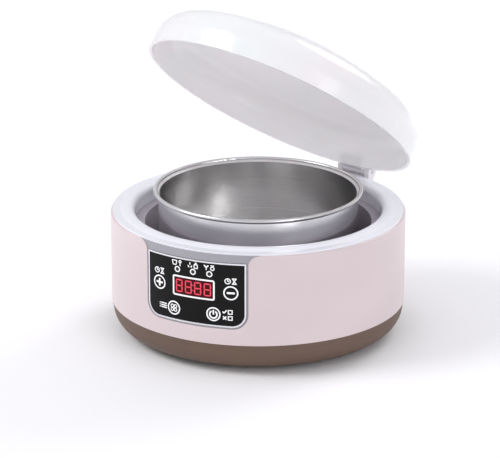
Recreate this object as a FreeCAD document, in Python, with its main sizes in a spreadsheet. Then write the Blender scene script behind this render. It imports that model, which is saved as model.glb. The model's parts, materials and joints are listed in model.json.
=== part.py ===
import FreeCAD, Part
import math
import os
import Sketcher
from FreeCAD import Placement, Rotation, Vector

# Yogurt maker: a round heated housing with a control panel at the front, a lift-out
# steel bowl and a domed lid that is hinged at the back, a little to the right.
# The frame's origin is the centre of the base on the surface that it stands on.
# +Z is up, -Y is the front, and all sizes are millimetres.

# Driving dimensions: alias, value, what it measures.
SIZES = [
    # overall housing
    ("shell_radius", 100.0, "outer radius of the outer shell"),
    ("cut_margin", 10.0, "how far a cut runs past the outside of the shell"),
    ("shell_height", 62.0, "height of the outer shell"),
    ("shell_wall", 2.2, "wall of the outer shell"),
    ("shell_edge_round", 1.4, "round on the top edge of the outer shell"),
    ("foot_height", 2.5, "height of the feet below the base"),
    ("base_height", 19.5, "height of the base below the outer shell"),
    ("fit_gap", 0.15, "gap between pieces that are fitted together"),
    ("move_gap", 0.3, "gap between pieces that move past each other"),
    # base
    ("base_wall", 2.4, "wall of the base"),
    ("base_corner_round", 15.5, "outer round between the floor and side of the base"),
    ("base_draft", 1.0, "how far the side of the base leans in above its round"),
    ("spigot_height", 4.0, "height of the base's spigot inside the outer shell"),
    ("spigot_wall", 2.25, "wall of the spigot"),
    ("vent_count", 8, "number of vents in the base's floor"),
    ("vent_width", 2.4, "width of a vent"),
    ("vent_length", 14.0, "length of a vent"),
    ("vent_radius", 40.0, "distance of a vent's inner end from the axis"),
    ("vent_turn", 22.5, "angle of the first vent from the right-hand side, in degrees"),
    # feet
    ("foot_radius", 9.0, "radius of a foot"),
    ("foot_inset", 8.5, "gap between a foot and the round edge of the base's floor"),
    ("foot_recess", 0.5, "depth that a foot is set into the base"),
    # posts and screws that join the base to the top ring
    ("post_radius", 3.7, "radius of a post"),
    ("post_gap", 0.9, "gap between a post and the heating pot"),
    ("post_joint_rise", 2.0, "height above the base at which the halves of a post meet"),
    ("base_screw_radius", 1.5, "radius of a base screw's shank"),
    ("base_screw_length", 22.0, "length of a base screw"),
    ("screw_head_radius", 2.8, "radius of a screw's head"),
    ("screw_head_height", 1.8, "height of a screw's head"),
    ("screw_head_depth", 3.4, "depth of a base screw's head below the base"),
    # top ring
    ("flange_step", 1.4, "how far the top ring's flange stays inside the outer shell"),
    ("flange_height", 1.2, "height of the flange above the outer shell"),
    ("collar_gap", 0.9, "gap between the raised collar and the lid round it"),
    ("collar_round", 1.6, "round at the foot of the collar's outside"),
    ("collar_height", 2.2, "height of the collar's crest above the outer shell"),
    ("crest_inset", 5.6, "distance of the collar's crest inside its outer wall"),
    ("crest_sweep", 17.6, "radius of the slope from the collar's crest"),
    ("collar_width", 10.1, "width of the collar from its outer wall to its opening"),
    ("lip_round", 3.4, "round from the crest into the opening"),
    ("ring_wall", 2.2, "wall of the top ring"),
    ("skirt_depth", 7.0, "depth of the locating skirt below the outer shell's top"),
    ("skirt_gap", 0.5, "gap between the locating skirt and the panel carrier"),
    ("shoulder_depth", 9.8, "depth of the pot's shoulder below the outer shell's top"),
    ("shoulder_width", 4.5, "width of the shoulder that carries the heating pot"),
    ("shoulder_wall", 2.0, "thickness of the shoulder"),
    # heating pot and what is under it
    ("pot_gap", 1.0, "gap between the heating pot and the shoulder"),
    ("pot_wall", 1.0, "wall of the heating pot"),
    ("under_pot_height", 19.8, "height between the base's floor and the heating pot"),
    ("pot_corner_round", 7.0, "outer round at the pot's floor"),
    ("seal_height", 0.8, "thickness of the seal under the pot's flange"),
    ("seal_width", 3.0, "width of the seal"),
    ("heater_inner_radius", 20.0, "inner radius of the ring heater"),
    ("heater_inset", 10.0, "distance of the ring heater inside the circle of studs"),
    ("heater_height", 2.5, "thickness of the ring heater"),
    ("clamp_inner_radius", 30.0, "inner radius of the heater clamp"),
    ("clamp_outer_radius", 38.0, "outer radius of the heater clamp's ring"),
    ("clamp_height", 1.2, "thickness of the heater clamp"),
    ("clamp_arm_width", 9.0, "width of a clamp arm"),
    ("stud_inset", 7.0, "distance of a pot stud inside the pot's flat floor"),
    ("stud_radius", 1.5, "radius of a pot stud"),
    ("stud_length", 7.0, "length of a pot stud"),
    ("nut_radius", 3.1, "radius across the corners of a clamp nut"),
    ("nut_height", 2.4, "height of a clamp nut"),
    ("sensor_radius", 6.0, "radius of the temperature sensor's cap"),
    ("sensor_height", 8.0, "height of the temperature sensor"),
    ("spring_radius", 4.6, "mean radius of the sensor spring"),
    ("spring_wire_radius", 0.45, "radius of the sensor spring's wire"),
    ("spring_turns", 5.0, "turns of the sensor spring"),
    ("fuse_radius", 2.0, "radius of the thermal fuse"),
    ("fuse_length", 11.0, "length of the thermal fuse's can"),
    # bowl
    ("water_gap", 9.4, "gap between the bowl and the heating pot"),
    ("bowl_wall", 0.8, "wall of the bowl"),
    ("bowl_rise", 15.0, "height of the bowl's rim above the outer shell"),
    ("bowl_corner_round", 10.0, "outer round at the bowl's floor"),
    ("bowl_rim_reach", 3.4, "how far the rolled rim stands out from the bowl's wall"),
    ("bowl_bead_radius", 1.3, "radius of the rolled bead"),
    # lid
    ("lid_step", 3.5, "how far the lid's rim stays inside the outer shell"),
    ("lid_wall", 2.0, "wall of the lid"),
    ("lid_skirt", 10.0, "height of the lid's straight skirt"),
    ("lid_crown", 34.6, "height of the lid's crown above its skirt"),
    ("lid_shoulder_round", 20.0, "round between the lid's skirt and crown"),
    ("well_radius", 24.0, "radius of the grip well's floor"),
    ("well_flare", 2.0, "how much wider the grip well is at its mouth"),
    ("well_depth", 9.4, "depth of the grip well's floor below the crown's top"),
    ("grip_bar_width", 5.0, "thickness of the bar across the grip well"),
    ("grip_bar_drop", 0.8, "depth of the bar's top below the crown"),
    ("lid_open_angle", 38.0, "how far the lid stands open at rest, in degrees"),
    # hinge
    ("hinge_turn", -16.0, "turn of the hinge about the upright axis, in degrees"),
    ("hinge_offset", 5.5, "distance of the hinge axis behind the outer shell"),
    ("hinge_rise", 3.5, "height of the hinge axis above the outer shell's top"),
    ("hinge_barrel_radius", 4.2, "outer radius of the hinge's barrel and ears"),
    ("arm_heel", 3.36, "setback of the hinge arm's lower corner from the hinge axis"),
    ("hinge_barrel_width", 19.4, "width of the lid's hinge barrel"),
    ("hinge_ear_wall", 4.0, "thickness of a bracket ear"),
    ("hinge_pin_radius", 1.5, "radius of the hinge pin"),
    ("hinge_pin_clearance", 0.05, "running clearance round the hinge pin"),
    ("bracket_height", 15.0, "height of the hinge bracket's plate"),
    ("bracket_screw_rise", 3.36, "height of the bracket's screws above its lower edge"),
    ("bracket_wall", 3.6, "thickness of the hinge bracket's plate"),
    ("arm_height", 7.0, "height of the hinge arm on the lid's skirt"),
    ("hinge_screw_spacing", 17.0, "distance between the two hinge screws"),
    ("hinge_screw_radius", 1.4, "radius of a hinge screw's shank"),
    ("hinge_screw_length", 8.0, "length of a hinge screw's shank"),
    # control panel
    ("panel_width", 68.8, "width of the black panel, straight across"),
    ("panel_height", 42.0, "height of the black panel"),
    ("panel_drop", 6.6, "depth of the panel's upper edge below the shell's top"),
    ("panel_corner_round", 8.0, "round at the panel's lower corners"),
    ("panel_thickness", 1.5, "thickness of the panel lens"),
    ("panel_inset", 0.2, "depth of the lens below the outer shell's surface"),
    ("trim_width", 1.0, "width of the silver trim round the panel"),
    ("carrier_width", 1.1, "width of the white carrier outside the trim"),
    ("carrier_inset", 0.5, "depth of the carrier below the outer shell's surface"),
    ("carrier_backing", 2.0, "thickness of the carrier behind the lens"),
    ("notch_flare", 6.5, "round where the shell's notch opens at its top corners"),
    ("display_width", 27.8, "width of the display window"),
    ("display_height", 11.4, "height of the display window"),
    ("display_drop", 18.4, "depth of the display's centre below the panel's top"),
    ("time_key_offset", 25.9, "distance of a time key from the panel's middle"),
    ("time_key_drop", 19.1, "depth of a time key below the panel's top"),
    ("lower_key_offset", 14.4, "distance of a lower key from the panel's middle"),
    ("lower_key_rise", 7.4, "height of a lower key above the panel's lower edge"),
    ("key_radius", 5.0, "radius of a key cap"),
    ("key_skirt_radius", 6.6, "radius of the key's retaining skirt"),
    ("key_proud", 0.1, "how far a key cap stands outside the shell's surface"),
    ("key_travel", 0.6, "how far a key is pushed in"),
    ("key_recess_radius", 4.4, "radius of the recess in the back of a key"),
    ("indicator_spacing", 11.6, "distance between two indicators"),
    ("indicator_drop", 7.3, "depth of the indicators below the panel's top"),
    ("indicator_radius", 1.4, "radius of an indicator lens"),
    # control board
    ("board_gap", 0.7, "gap between the control board and the top ring's wall"),
    ("board_wall", 1.6, "thickness of both boards"),
    ("board_width", 66.0, "width of the control board"),
    ("board_inset", 0.8, "distance of the control board inside the panel's lower edge"),
    ("board_drop", 2.6, "depth of the control board's upper edge below the panel's"),
    ("board_screw_inset", 3.0, "distance of a board screw from the board's edges"),
    ("board_screw_radius", 1.0, "radius of a board screw's shank"),
    ("board_screw_head", 1.9, "radius of a board screw's head"),
    ("board_boss_radius", 2.2, "radius of a boss that holds a board screw"),
    ("switch_width", 5.5, "width of a tact switch"),
    ("switch_height", 3.4, "height of a tact switch's body"),
    ("switch_plunger_radius", 1.6, "radius of a tact switch's plunger"),
    ("switch_plunger_height", 0.8, "height of a tact switch's plunger when pressed"),
    ("led_width", 2.0, "width of an indicator LED"),
    ("led_height", 1.6, "height of an indicator LED"),
    ("chip_width", 10.0, "width of the controller chip"),
    ("chip_height", 0.5, "height of the controller chip"),
    # power board and inlet
    ("power_width", 62.0, "width of the power board, across the base"),
    ("power_depth", 36.0, "depth of the power board, front to back"),
    ("power_gap", 10.0, "distance between the power board and the mains inlet"),
    ("power_standoff", 4.0, "height of the power board above the base's floor"),
    ("relay_width", 18.0, "width of the relay"),
    ("relay_depth", 14.0, "depth of the relay"),
    ("relay_height", 8.6, "height of the relay"),
    ("capacitor_radius", 5.0, "radius of the capacitor"),
    ("capacitor_height", 8.4, "height of the capacitor"),
    ("transformer_width", 14.0, "width of the transformer"),
    ("transformer_offset", 18.2, "distance of the transformer left of the middle"),
    ("transformer_height", 8.8, "height of the transformer"),
    ("lead_radius", 1.1, "radius of an insulated lead"),
    ("lead_spacing", 8.6, "distance between the two mains leads and inlet pins"),
    ("heater_lead_spacing", 14.0, "distance between the two heater leads"),
    ("ribbon_width", 10.0, "width of the ribbon cable"),
    ("ribbon_thickness", 0.9, "thickness of the ribbon cable"),
    ("ribbon_offset", 20.0, "distance of the ribbon cable from the middle"),
    ("inlet_width", 20.6, "width of the mains inlet's body"),
    ("inlet_height", 11.6, "height of the mains inlet's body"),
    ("inlet_length", 15.0, "length of the mains inlet's body"),
    ("inlet_inset", 5.0, "depth of the inlet's face inside the outer shell's radius"),
    ("inlet_rise", 13.0, "height of the inlet's centre"),
    ("inlet_recess_height", 8.2, "height of the inlet's recess"),
    ("inlet_recess_depth", 11.0, "depth of the inlet's recess"),
    ("inlet_pin_radius", 1.2, "radius of an inlet pin"),
    ("inlet_pin_length", 9.0, "length of an inlet pin in the recess"),
]

QUARTERS = ((1, 1), (-1, 1), (-1, -1), (1, -1))


class Size:
    """A number together with the spreadsheet expression that gives it."""

    def __init__(self, value, text):
        self.value = value
        self.text = text

    def join(self, other, sign, value):
        return Size(value, "(%s %s %s)" % (self.text, sign, other.text))

    def __add__(self, other):
        other = as_size(other)
        return self.join(other, "+", self.value + other.value)

    def __sub__(self, other):
        other = as_size(other)
        return self.join(other, "-", self.value - other.value)

    def __mul__(self, other):
        other = as_size(other)
        return self.join(other, "*", self.value * other.value)

    def __truediv__(self, other):
        other = as_size(other)
        return self.join(other, "/", self.value / other.value)

    def __neg__(self):
        return as_size(0.0) - self

    def root(self):
        return Size(math.sqrt(self.value), "sqrt(%s)" % self.text)


def as_size(number):
    """Give a plain number the same form as a spreadsheet size."""
    if isinstance(number, Size):
        return number
    return Size(float(number), repr(float(number)))


def make_sheet(doc):
    """Write the driving dimensions into the document's spreadsheet."""
    sheet = doc.addObject("Spreadsheet::Sheet", "sizes")
    for row, (alias, number, note) in enumerate(SIZES, start=1):
        sheet.set("A%d" % row, alias)
        sheet.set("B%d" % row, str(number))
        sheet.setAlias("B%d" % row, alias)
        sheet.set("C%d" % row, note)
    doc.recompute()
    return sheet


doc = FreeCAD.newDocument("yogurt_maker")
sheet = make_sheet(doc)


def size(alias):
    """The spreadsheet's value for an alias, with its expression."""
    return Size(float(sheet.get(alias)), "sizes." + alias)


# Heights and radii that several pieces share.
base_bottom = size("foot_height")
base_top = base_bottom + size("base_height")
base_floor = base_bottom + size("base_wall")
shell_radius = size("shell_radius")
shell_inner = shell_radius - size("shell_wall")
shell_top = base_top + size("shell_height")
flange_top = shell_top + size("flange_height")
shoulder_top = shell_top - size("shoulder_depth")
post_joint = base_top + size("post_joint_rise")
lid_radius = shell_radius - size("lid_step")
collar_radius = lid_radius - size("lid_wall") - size("collar_gap")
lip_radius = collar_radius - size("collar_width")
liner_outer = lip_radius + size("ring_wall")
shoulder_radius = lip_radius - size("shoulder_width")
pot_outer = shoulder_radius - size("pot_gap")
pot_radius = pot_outer - size("pot_wall")
pot_flange_bottom = shoulder_top + size("seal_height")
pot_flange_top = pot_flange_bottom + size("pot_wall")
pot_floor_bottom = base_floor + size("under_pot_height")
pot_floor_top = pot_floor_bottom + size("pot_wall")
stud_circle = pot_outer - size("pot_corner_round") - size("stud_inset")
heater_bottom = pot_floor_bottom - size("heater_height")
clamp_bottom = heater_bottom - size("clamp_height")
post_circle = pot_outer + size("post_gap") + size("post_radius")
base_flat = shell_radius - size("base_draft") - size("base_corner_round")
foot_circle = base_flat - size("foot_inset") - size("foot_radius")
bowl_bottom = pot_floor_top + size("move_gap")
bowl_top = shell_top + size("bowl_rise")
bowl_radius = pot_radius - size("water_gap")
lid_bottom = flange_top + size("move_gap")
hinge_depth = shell_radius + size("hinge_offset")
hinge_height = shell_top + size("hinge_rise")
past_shell = shell_radius + size("cut_margin")
past_hinge = hinge_depth + size("cut_margin")
guide_height = shell_top * 2
panel_top = shell_top - size("panel_drop")
panel_bottom = panel_top - size("panel_height")
lens_outer = shell_radius - size("panel_inset")
lens_inner = lens_outer - size("panel_thickness")
carrier_outer = shell_radius - size("carrier_inset")
carrier_inner = lens_inner - size("carrier_backing")
board_back = liner_outer + size("board_gap")
board_front = board_back + size("board_wall")
board_low = panel_bottom + size("board_inset")
board_high = panel_top - size("board_drop")
inlet_face = shell_radius - size("inlet_inset")
inlet_back = inlet_face - size("inlet_length")
power_bottom = base_floor + size("power_standoff")
power_top = power_bottom + size("board_wall")
power_rear = inlet_back - size("power_gap")
power_front = power_rear - size("power_depth")
power_middle = (power_front + power_rear) / 2
display_height = panel_top - size("display_drop")

KEYS = {
    "key_time_up": (-size("time_key_offset"), panel_top - size("time_key_drop")),
    "key_time_down": (size("time_key_offset"), panel_top - size("time_key_drop")),
    "key_function": (-size("lower_key_offset"), panel_bottom + size("lower_key_rise")),
    "key_power": (size("lower_key_offset"), panel_bottom + size("lower_key_rise")),
}


# ---- sketches -------------------------------------------------------------------------

def new_body(name, separate=False):
    """A PartDesign body; separate allows several loose solids of one kind in it."""
    body = doc.addObject("PartDesign::Body", name)
    body.AllowCompound = separate
    return body


def origin_feature(body, role):
    for feature in body.Origin.OriginFeatures:
        if feature.Role == role:
            return feature
    raise RuntimeError("no origin feature " + role)


def sketch_on(body, plane, offset=None):
    """A sketch on one of the body's own origin planes, moved along its normal."""
    sketch = body.newObject("Sketcher::SketchObject", body.Name + "_sketch")
    sketch.AttachmentSupport = (origin_feature(body, plane), [""])
    sketch.MapMode = "FlatFace"
    if offset is not None:
        sketch.setExpression("AttachmentOffset.Base.z", as_size(offset).text)
    return sketch


def bind(sketch, kind, references, amount):
    """Add one dimension to a sketch and tie it to its spreadsheet expression."""
    index = sketch.addConstraint(Sketcher.Constraint(kind, *references, amount.value))
    name = "size_%d" % index
    sketch.renameConstraint(index, name)
    sketch.setExpression("Constraints." + name, amount.text)


def place_point(sketch, edge, end, across, up):
    """Fix one end of an edge at (across, up) from the sketch's origin."""
    for amount, kind, axis in ((across, "DistanceX", -2), (up, "DistanceY", -1)):
        if abs(amount.value) < 1e-9:
            sketch.addConstraint(Sketcher.Constraint("PointOnObject", edge, end, axis))
        else:
            bind(sketch, kind, (-1, 1, edge, end), amount)


def arc_between(start, finish, radius, leftward):
    """The short arc from start to finish whose centre is on the left or right."""
    chord = finish - start
    side = Vector(-chord.y, chord.x, 0).normalize()
    reach = math.sqrt(max(radius ** 2 - (chord.Length / 2) ** 2, 0.0))
    centre = (start + finish) / 2 + side * (reach if leftward else -reach)
    first, last = (start, finish) if leftward else (finish, start)
    begin = math.atan2(first.y - centre.y, first.x - centre.x)
    end = math.atan2(last.y - centre.y, last.x - centre.x)
    circle = Part.Circle(centre, Vector(0, 0, 1), radius)
    return Part.ArcOfCircle(circle, begin, end)


def draw_outline(sketch, corners):
    """Draw a closed outline.

    A corner is (across, up), or (across, up, radius, "left" or "right") where an arc
    leaves it, with its centre on that side of the way round.
    """
    corners = [tuple(map(as_size, corner[:2])) + tuple(corner[2:]) for corner in corners]
    ends = []
    for number, corner in enumerate(corners):
        following = corners[(number + 1) % len(corners)]
        start = Vector(corner[0].value, corner[1].value, 0)
        finish = Vector(following[0].value, following[1].value, 0)
        if len(corner) == 2:
            edge = sketch.addGeometry(Part.LineSegment(start, finish), False)
            ends.append((edge, 1, 2))
        else:
            radius = as_size(corner[2])
            leftward = corner[3] == "left"
            arc = arc_between(start, finish, radius.value, leftward)
            edge = sketch.addGeometry(arc, False)
            bind(sketch, "Radius", (edge,), radius)
            ends.append((edge, 1, 2) if leftward else (edge, 2, 1))
    for number, (edge, first, last) in enumerate(ends):
        next_edge, next_first, _ = ends[(number + 1) % len(ends)]
        sketch.addConstraint(
            Sketcher.Constraint("Coincident", edge, last, next_edge, next_first))
        place_point(sketch, edge, first, corners[number][0], corners[number][1])


def draw_circle(sketch, across, up, radius):
    across, up, radius = map(as_size, (across, up, radius))
    centre = Vector(across.value, up.value, 0)
    circle = Part.Circle(centre, Vector(0, 0, 1), radius.value)
    edge = sketch.addGeometry(circle, False)
    bind(sketch, "Radius", (edge,), radius)
    place_point(sketch, edge, 3, across, up)


def draw_rectangle(sketch, middle, centre_height, width, height):
    """A rectangle about its centre."""
    middle, centre_height = as_size(middle), as_size(centre_height)
    half_width, half_height = as_size(width) / 2, as_size(height) / 2
    left, right = middle - half_width, middle + half_width
    low, high = centre_height - half_height, centre_height + half_height
    draw_outline(sketch, [(left, low), (right, low), (right, high), (left, high)])


# ---- features -------------------------------------------------------------------------

def revolve(body, corners, plane="XZ_Plane"):
    """Turn an outline of (radius, height) corners once round the body's Z axis."""
    sketch = sketch_on(body, plane)
    draw_outline(sketch, corners)
    turn = body.newObject("PartDesign::Revolution", body.Name + "_turn")
    turn.Profile = sketch
    turn.ReferenceAxis = (sketch, ["V_Axis"])
    turn.Angle = 360.0
    return turn


def pad(body, sketch, length, midplane=False, backward=False):
    feature = body.newObject("PartDesign::Pad", body.Name + "_pad")
    feature.Profile = sketch
    feature.SideType = "Symmetric" if midplane else "One side"
    feature.Reversed = backward
    feature.setExpression("Length", as_size(length).text)
    return feature


def pocket(body, sketch, length, midplane=False, backward=False):
    feature = body.newObject("PartDesign::Pocket", body.Name + "_pocket")
    feature.Profile = sketch
    feature.SideType = "Symmetric" if midplane else "One side"
    feature.Reversed = backward
    feature.setExpression("Length", as_size(length).text)
    return feature


def repeat_round(body, feature, count):
    """Repeat a feature evenly round the Z axis."""
    pattern = body.newObject("PartDesign::PolarPattern", body.Name + "_round")
    pattern.Originals = [feature]
    pattern.Axis = (origin_feature(body, "Z_Axis"), [""])
    pattern.Angle = 360.0
    if isinstance(count, Size):
        pattern.setExpression("Occurrences", count.text)
    else:
        pattern.Occurrences = count
    body.Tip = pattern
    return pattern


def place(obj, across=0.0, deep=0.0, up=0.0, rotation=None):
    """Place a Part object, with each coordinate tied to its expression."""
    if rotation is not None:
        obj.Placement = Placement(Vector(0, 0, 0), rotation)
    for letter, amount in (("x", across), ("y", deep), ("z", up)):
        obj.setExpression("Placement.Base." + letter, as_size(amount).text)
    return obj


def cylinder(name, radius, height, across=0.0, deep=0.0, up=0.0, forward=False):
    """A cylinder up the Z axis, or towards the front when forward is set."""
    solid = doc.addObject("Part::Cylinder", name)
    solid.setExpression("Radius", as_size(radius).text)
    solid.setExpression("Height", as_size(height).text)
    rotation = Rotation(Vector(1, 0, 0), 90) if forward else None
    return place(solid, across, deep, up, rotation)


def boolean(kind, name, base, tool):
    """A Part boolean of two objects: kind is Cut, Fuse or Common."""
    result = doc.addObject("Part::" + kind, name)
    result.Base = base
    result.Tool = tool
    return result


def tube(name, inner, outer):
    """An upright tube round the housing's axis, taller than the housing."""
    height = guide_height
    outside = cylinder(name + "_outside", outer, height)
    inside = cylinder(name + "_inside", inner, height)
    return boolean("Cut", name, outside, inside)


def bent_plate(name, sketch_front, inner, outer):
    """A plate with a given front view, bent to the housing between two radii."""
    blank = new_body(name + "_blank")
    sketch = sketch_on(blank, "XZ_Plane")
    sketch_front(sketch)
    pad(blank, sketch, shell_radius + size("hinge_offset"))
    return boolean("Common", name, blank, tube(name + "_tube", inner, outer))


# ---- housing --------------------------------------------------------------------------

def panel_outline(sketch, margin, top, flared=False):
    """The panel's front view, grown by a margin at its sides and lower edge."""
    half = size("panel_width") / 2 + margin
    low = panel_bottom - margin
    corner = size("panel_corner_round") + margin
    if flared:
        # The corners curve outwards to meet the shell's top edge.
        flare = size("notch_flare")
        wide = half + flare
        upper = [(half, top - flare, flare, "right"), (wide, top),
                 (-wide, top, flare, "right"), (-half, top - flare)]
    else:
        upper = [(half, top), (-half, top)]
    draw_outline(sketch, [
        (-half, low + corner, corner, "left"),
        (-half + corner, low),
        (half - corner, low, corner, "left"),
        (half, low + corner),
    ] + upper)


def trim_margin():
    return size("trim_width") + size("fit_gap")


def carrier_margin():
    return trim_margin() + size("carrier_width")


def outer_shell():
    """The round outer wall, with a notch at the front for the control panel."""
    body = new_body("outer_shell")
    edge = size("shell_edge_round")
    revolve(body, [
        (shell_inner, base_top),
        (shell_radius, base_top),
        (shell_radius, shell_top - edge, edge, "left"),
        (shell_radius - edge, shell_top),
        (shell_inner, shell_top),
    ])
    notch = sketch_on(body, "XZ_Plane")
    panel_outline(notch, carrier_margin() + size("fit_gap"), shell_top, flared=True)
    pocket(body, notch, past_shell, backward=True)
    holes = sketch_on(body, "XZ_Plane")
    # The sketch's own Y axis is upright, so the hinge's turn is a turn about that.
    holes.AttachmentOffset = Placement(
        Vector(0, 0, 0), Rotation(Vector(0, 1, 0), size("hinge_turn").value))
    for side in (-1, 1):
        draw_circle(holes, hinge_screw_across(side), hinge_screw_up(),
                    size("hinge_screw_radius"))
    pocket(body, holes, past_shell)
    return body


def base_shell():
    """The tray that closes the bottom, with posts, foot recesses and vents."""
    body = new_body("base_shell")
    corner = size("base_corner_round")
    lean = base_flat + corner
    inner_round = corner - size("base_wall")
    spigot_outer = shell_inner - size("fit_gap")
    spigot_inner = spigot_outer - size("spigot_wall")
    spigot_top = base_top + size("spigot_height")
    revolve(body, [
        (0, base_bottom),
        (base_flat, base_bottom, corner, "left"),
        (lean, base_bottom + corner),
        (shell_radius, base_top),
        (spigot_outer, base_top),
        (spigot_outer, spigot_top),
        (spigot_inner, spigot_top),
        (spigot_inner, base_top - size("fit_gap") * 10),
        (lean - size("base_wall"), base_bottom + corner, inner_round, "right"),
        (base_flat, base_floor),
        (0, base_floor),
    ])

    posts = sketch_on(body, "XY_Plane", base_floor - size("base_wall") / 2)
    for across, deep in post_places():
        draw_circle(posts, across, deep, size("post_radius"))
    post_height = post_joint - base_floor + size("base_wall") / 2
    pad(body, posts, post_height)

    standoffs = sketch_on(body, "XY_Plane", base_floor - size("base_wall") / 2)
    for across, deep in power_screw_places():
        draw_circle(standoffs, across, deep, size("board_boss_radius"))
    pad(body, standoffs, size("power_standoff") + size("base_wall") / 2)

    guide = sketch_on(body, "XY_Plane", base_floor - size("base_wall") / 2)
    guide_radius = size("spring_radius") - size("spring_wire_radius") - size("move_gap") * 2
    draw_circle(guide, 0, 0, guide_radius)
    pad(body, guide, size("power_standoff") + size("base_wall") / 2)

    counterbores = sketch_on(body, "XY_Plane", base_bottom - size("foot_recess"))
    shanks = sketch_on(body, "XY_Plane", base_bottom - size("foot_recess"))
    for across, deep in post_places():
        draw_circle(counterbores, across, deep, size("screw_head_radius") + size("fit_gap"))
        draw_circle(shanks, across, deep, size("base_screw_radius") + size("fit_gap"))
    head_depth = size("screw_head_depth") + size("screw_head_height") + size("foot_recess")
    pocket(body, counterbores, head_depth, backward=True)
    pocket(body, shanks, post_joint, backward=True)

    pilots = sketch_on(body, "XY_Plane", power_bottom)
    for across, deep in power_screw_places():
        draw_circle(pilots, across, deep, size("board_screw_radius"))
    pocket(body, pilots, size("power_standoff"))

    recesses = sketch_on(body, "XY_Plane", base_bottom)
    for across, deep in foot_places():
        draw_circle(recesses, across, deep, size("foot_radius") + size("fit_gap"))
    pocket(body, recesses, size("foot_recess"), backward=True)

    inlet = sketch_on(body, "XZ_Plane")
    draw_rectangle(inlet, 0, size("inlet_rise"), size("inlet_width") + size("fit_gap") * 2,
                   size("inlet_height") + size("fit_gap") * 2)
    pocket(body, inlet, past_shell)

    vent = sketch_on(body, "XY_Plane", base_bottom)
    near = size("vent_radius")
    turn = Rotation(Vector(0, 0, 1), size("vent_turn").value)
    vent.AttachmentOffset = Placement(Vector(0, 0, base_bottom.value), turn)
    half = size("vent_width") / 2
    draw_outline(vent, [
        (near, -half),
        (near + size("vent_length"), -half, half, "left"),
        (near + size("vent_length") + half, 0, half, "left"),
        (near + size("vent_length"), half),
        (near, half, half, "left"),
        (near - half, 0, half, "left"),
    ])
    slot = pocket(body, vent, size("base_wall") * 1.5, backward=True)
    repeat_round(body, slot, size("vent_count"))
    return body


def top_ring():
    """The ring on top of the shell, with the collar that the lid closes round."""
    body = new_body("top_ring")
    collar = collar_radius
    collar_round = size("collar_round")
    crest = collar - size("crest_inset")
    crest_round = size("crest_sweep")
    crest_top = shell_top + size("collar_height")
    lip = lip_radius
    lip_round = size("lip_round")
    skirt = carrier_inner - size("skirt_gap")
    flange = shell_radius - size("flange_step")
    skirt_inner = skirt - size("ring_wall")
    roof = shell_top - size("fit_gap") * 4
    shoulder_bottom = shoulder_top - size("shoulder_wall")
    revolve(body, [
        (flange, shell_top),
        (flange, flange_top),
        (collar, flange_top),
        (collar - collar_round, crest_top - size("flange_height") / 2,
         crest_round, "left"),
        (crest, crest_top),
        (lip + lip_round, crest_top, lip_round, "left"),
        (lip, crest_top - lip_round),
        (lip, shoulder_top),
        (shoulder_radius, shoulder_top),
        (shoulder_radius, shoulder_bottom),
        (liner_outer, shoulder_bottom),
        (liner_outer, roof),
        (skirt_inner, roof),
        (skirt_inner, shell_top - size("skirt_depth")),
        (skirt, shell_top - size("skirt_depth")),
        (skirt, shell_top),
    ])

    posts = sketch_on(body, "XY_Plane", post_joint)
    pilots = sketch_on(body, "XY_Plane", post_joint)
    for across, deep in post_places():
        draw_circle(posts, across, deep, size("post_radius"))
        draw_circle(pilots, across, deep, size("base_screw_radius"))
    pad(body, posts, shoulder_bottom - post_joint + size("fit_gap"))
    pocket(body, pilots, size("base_screw_length"), backward=True)
    return body


def diagonal_places(distance):
    """Four places at this distance from the axis, half-way between X and Y."""
    reach = distance * math.sqrt(0.5)
    return [(reach * along, reach * deep) for along, deep in QUARTERS]


def post_places():
    return diagonal_places(post_circle)


def foot_places():
    return diagonal_places(foot_circle)


def rubber_feet():
    body = new_body("rubber_feet", separate=True)
    sketch = sketch_on(body, "XY_Plane")
    for across, deep in foot_places():
        draw_circle(sketch, across, deep, size("foot_radius"))
    pad(body, sketch, size("foot_height") + size("foot_recess"))
    return body


def base_screws():
    """Screws from below that hold the base, the outer shell and the top ring together."""
    body = new_body("base_screws", separate=True)
    head_top = base_bottom + size("screw_head_depth") + size("screw_head_height")
    heads = sketch_on(body, "XY_Plane", base_bottom + size("screw_head_depth"))
    shanks = sketch_on(body, "XY_Plane", base_bottom + size("screw_head_depth"))
    for across, deep in post_places():
        draw_circle(heads, across, deep, size("screw_head_radius"))
        draw_circle(shanks, across, deep, size("base_screw_radius"))
    pad(body, heads, head_top - base_bottom - size("screw_head_depth"))
    pad(body, shanks, size("screw_head_height") + size("base_screw_length"))
    return body


# ---- heating --------------------------------------------------------------------------

def stud_places():
    """Three studs under the pot: one at the front and two towards the back."""
    reach = stud_circle
    return [(as_size(0), -reach), (reach * math.cos(math.pi / 6), reach / 2),
            (-(reach * math.cos(math.pi / 6)), reach / 2)]


def heating_pot():
    """The metal pot that warms the bowl, hung from the top ring by its flange."""
    body = new_body("heating_pot")
    wall = size("pot_wall")
    corner = size("pot_corner_round")
    flange = lip_radius - size("move_gap")
    revolve(body, [
        (0, pot_floor_bottom),
        (pot_outer - corner, pot_floor_bottom, corner, "left"),
        (pot_outer, pot_floor_bottom + corner),
        (pot_outer, pot_flange_bottom),
        (flange, pot_flange_bottom),
        (flange, pot_flange_top),
        (pot_radius, pot_flange_top),
        (pot_radius, pot_floor_bottom + corner, corner - wall, "right"),
        (pot_outer - corner, pot_floor_top),
        (0, pot_floor_top),
    ])
    studs = sketch_on(body, "XY_Plane", pot_floor_bottom + size("pot_wall") / 2)
    for across, deep in stud_places():
        draw_circle(studs, across, deep, size("stud_radius"))
    pad(body, studs, size("stud_length") + size("pot_wall") / 2, backward=True)
    return body


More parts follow.
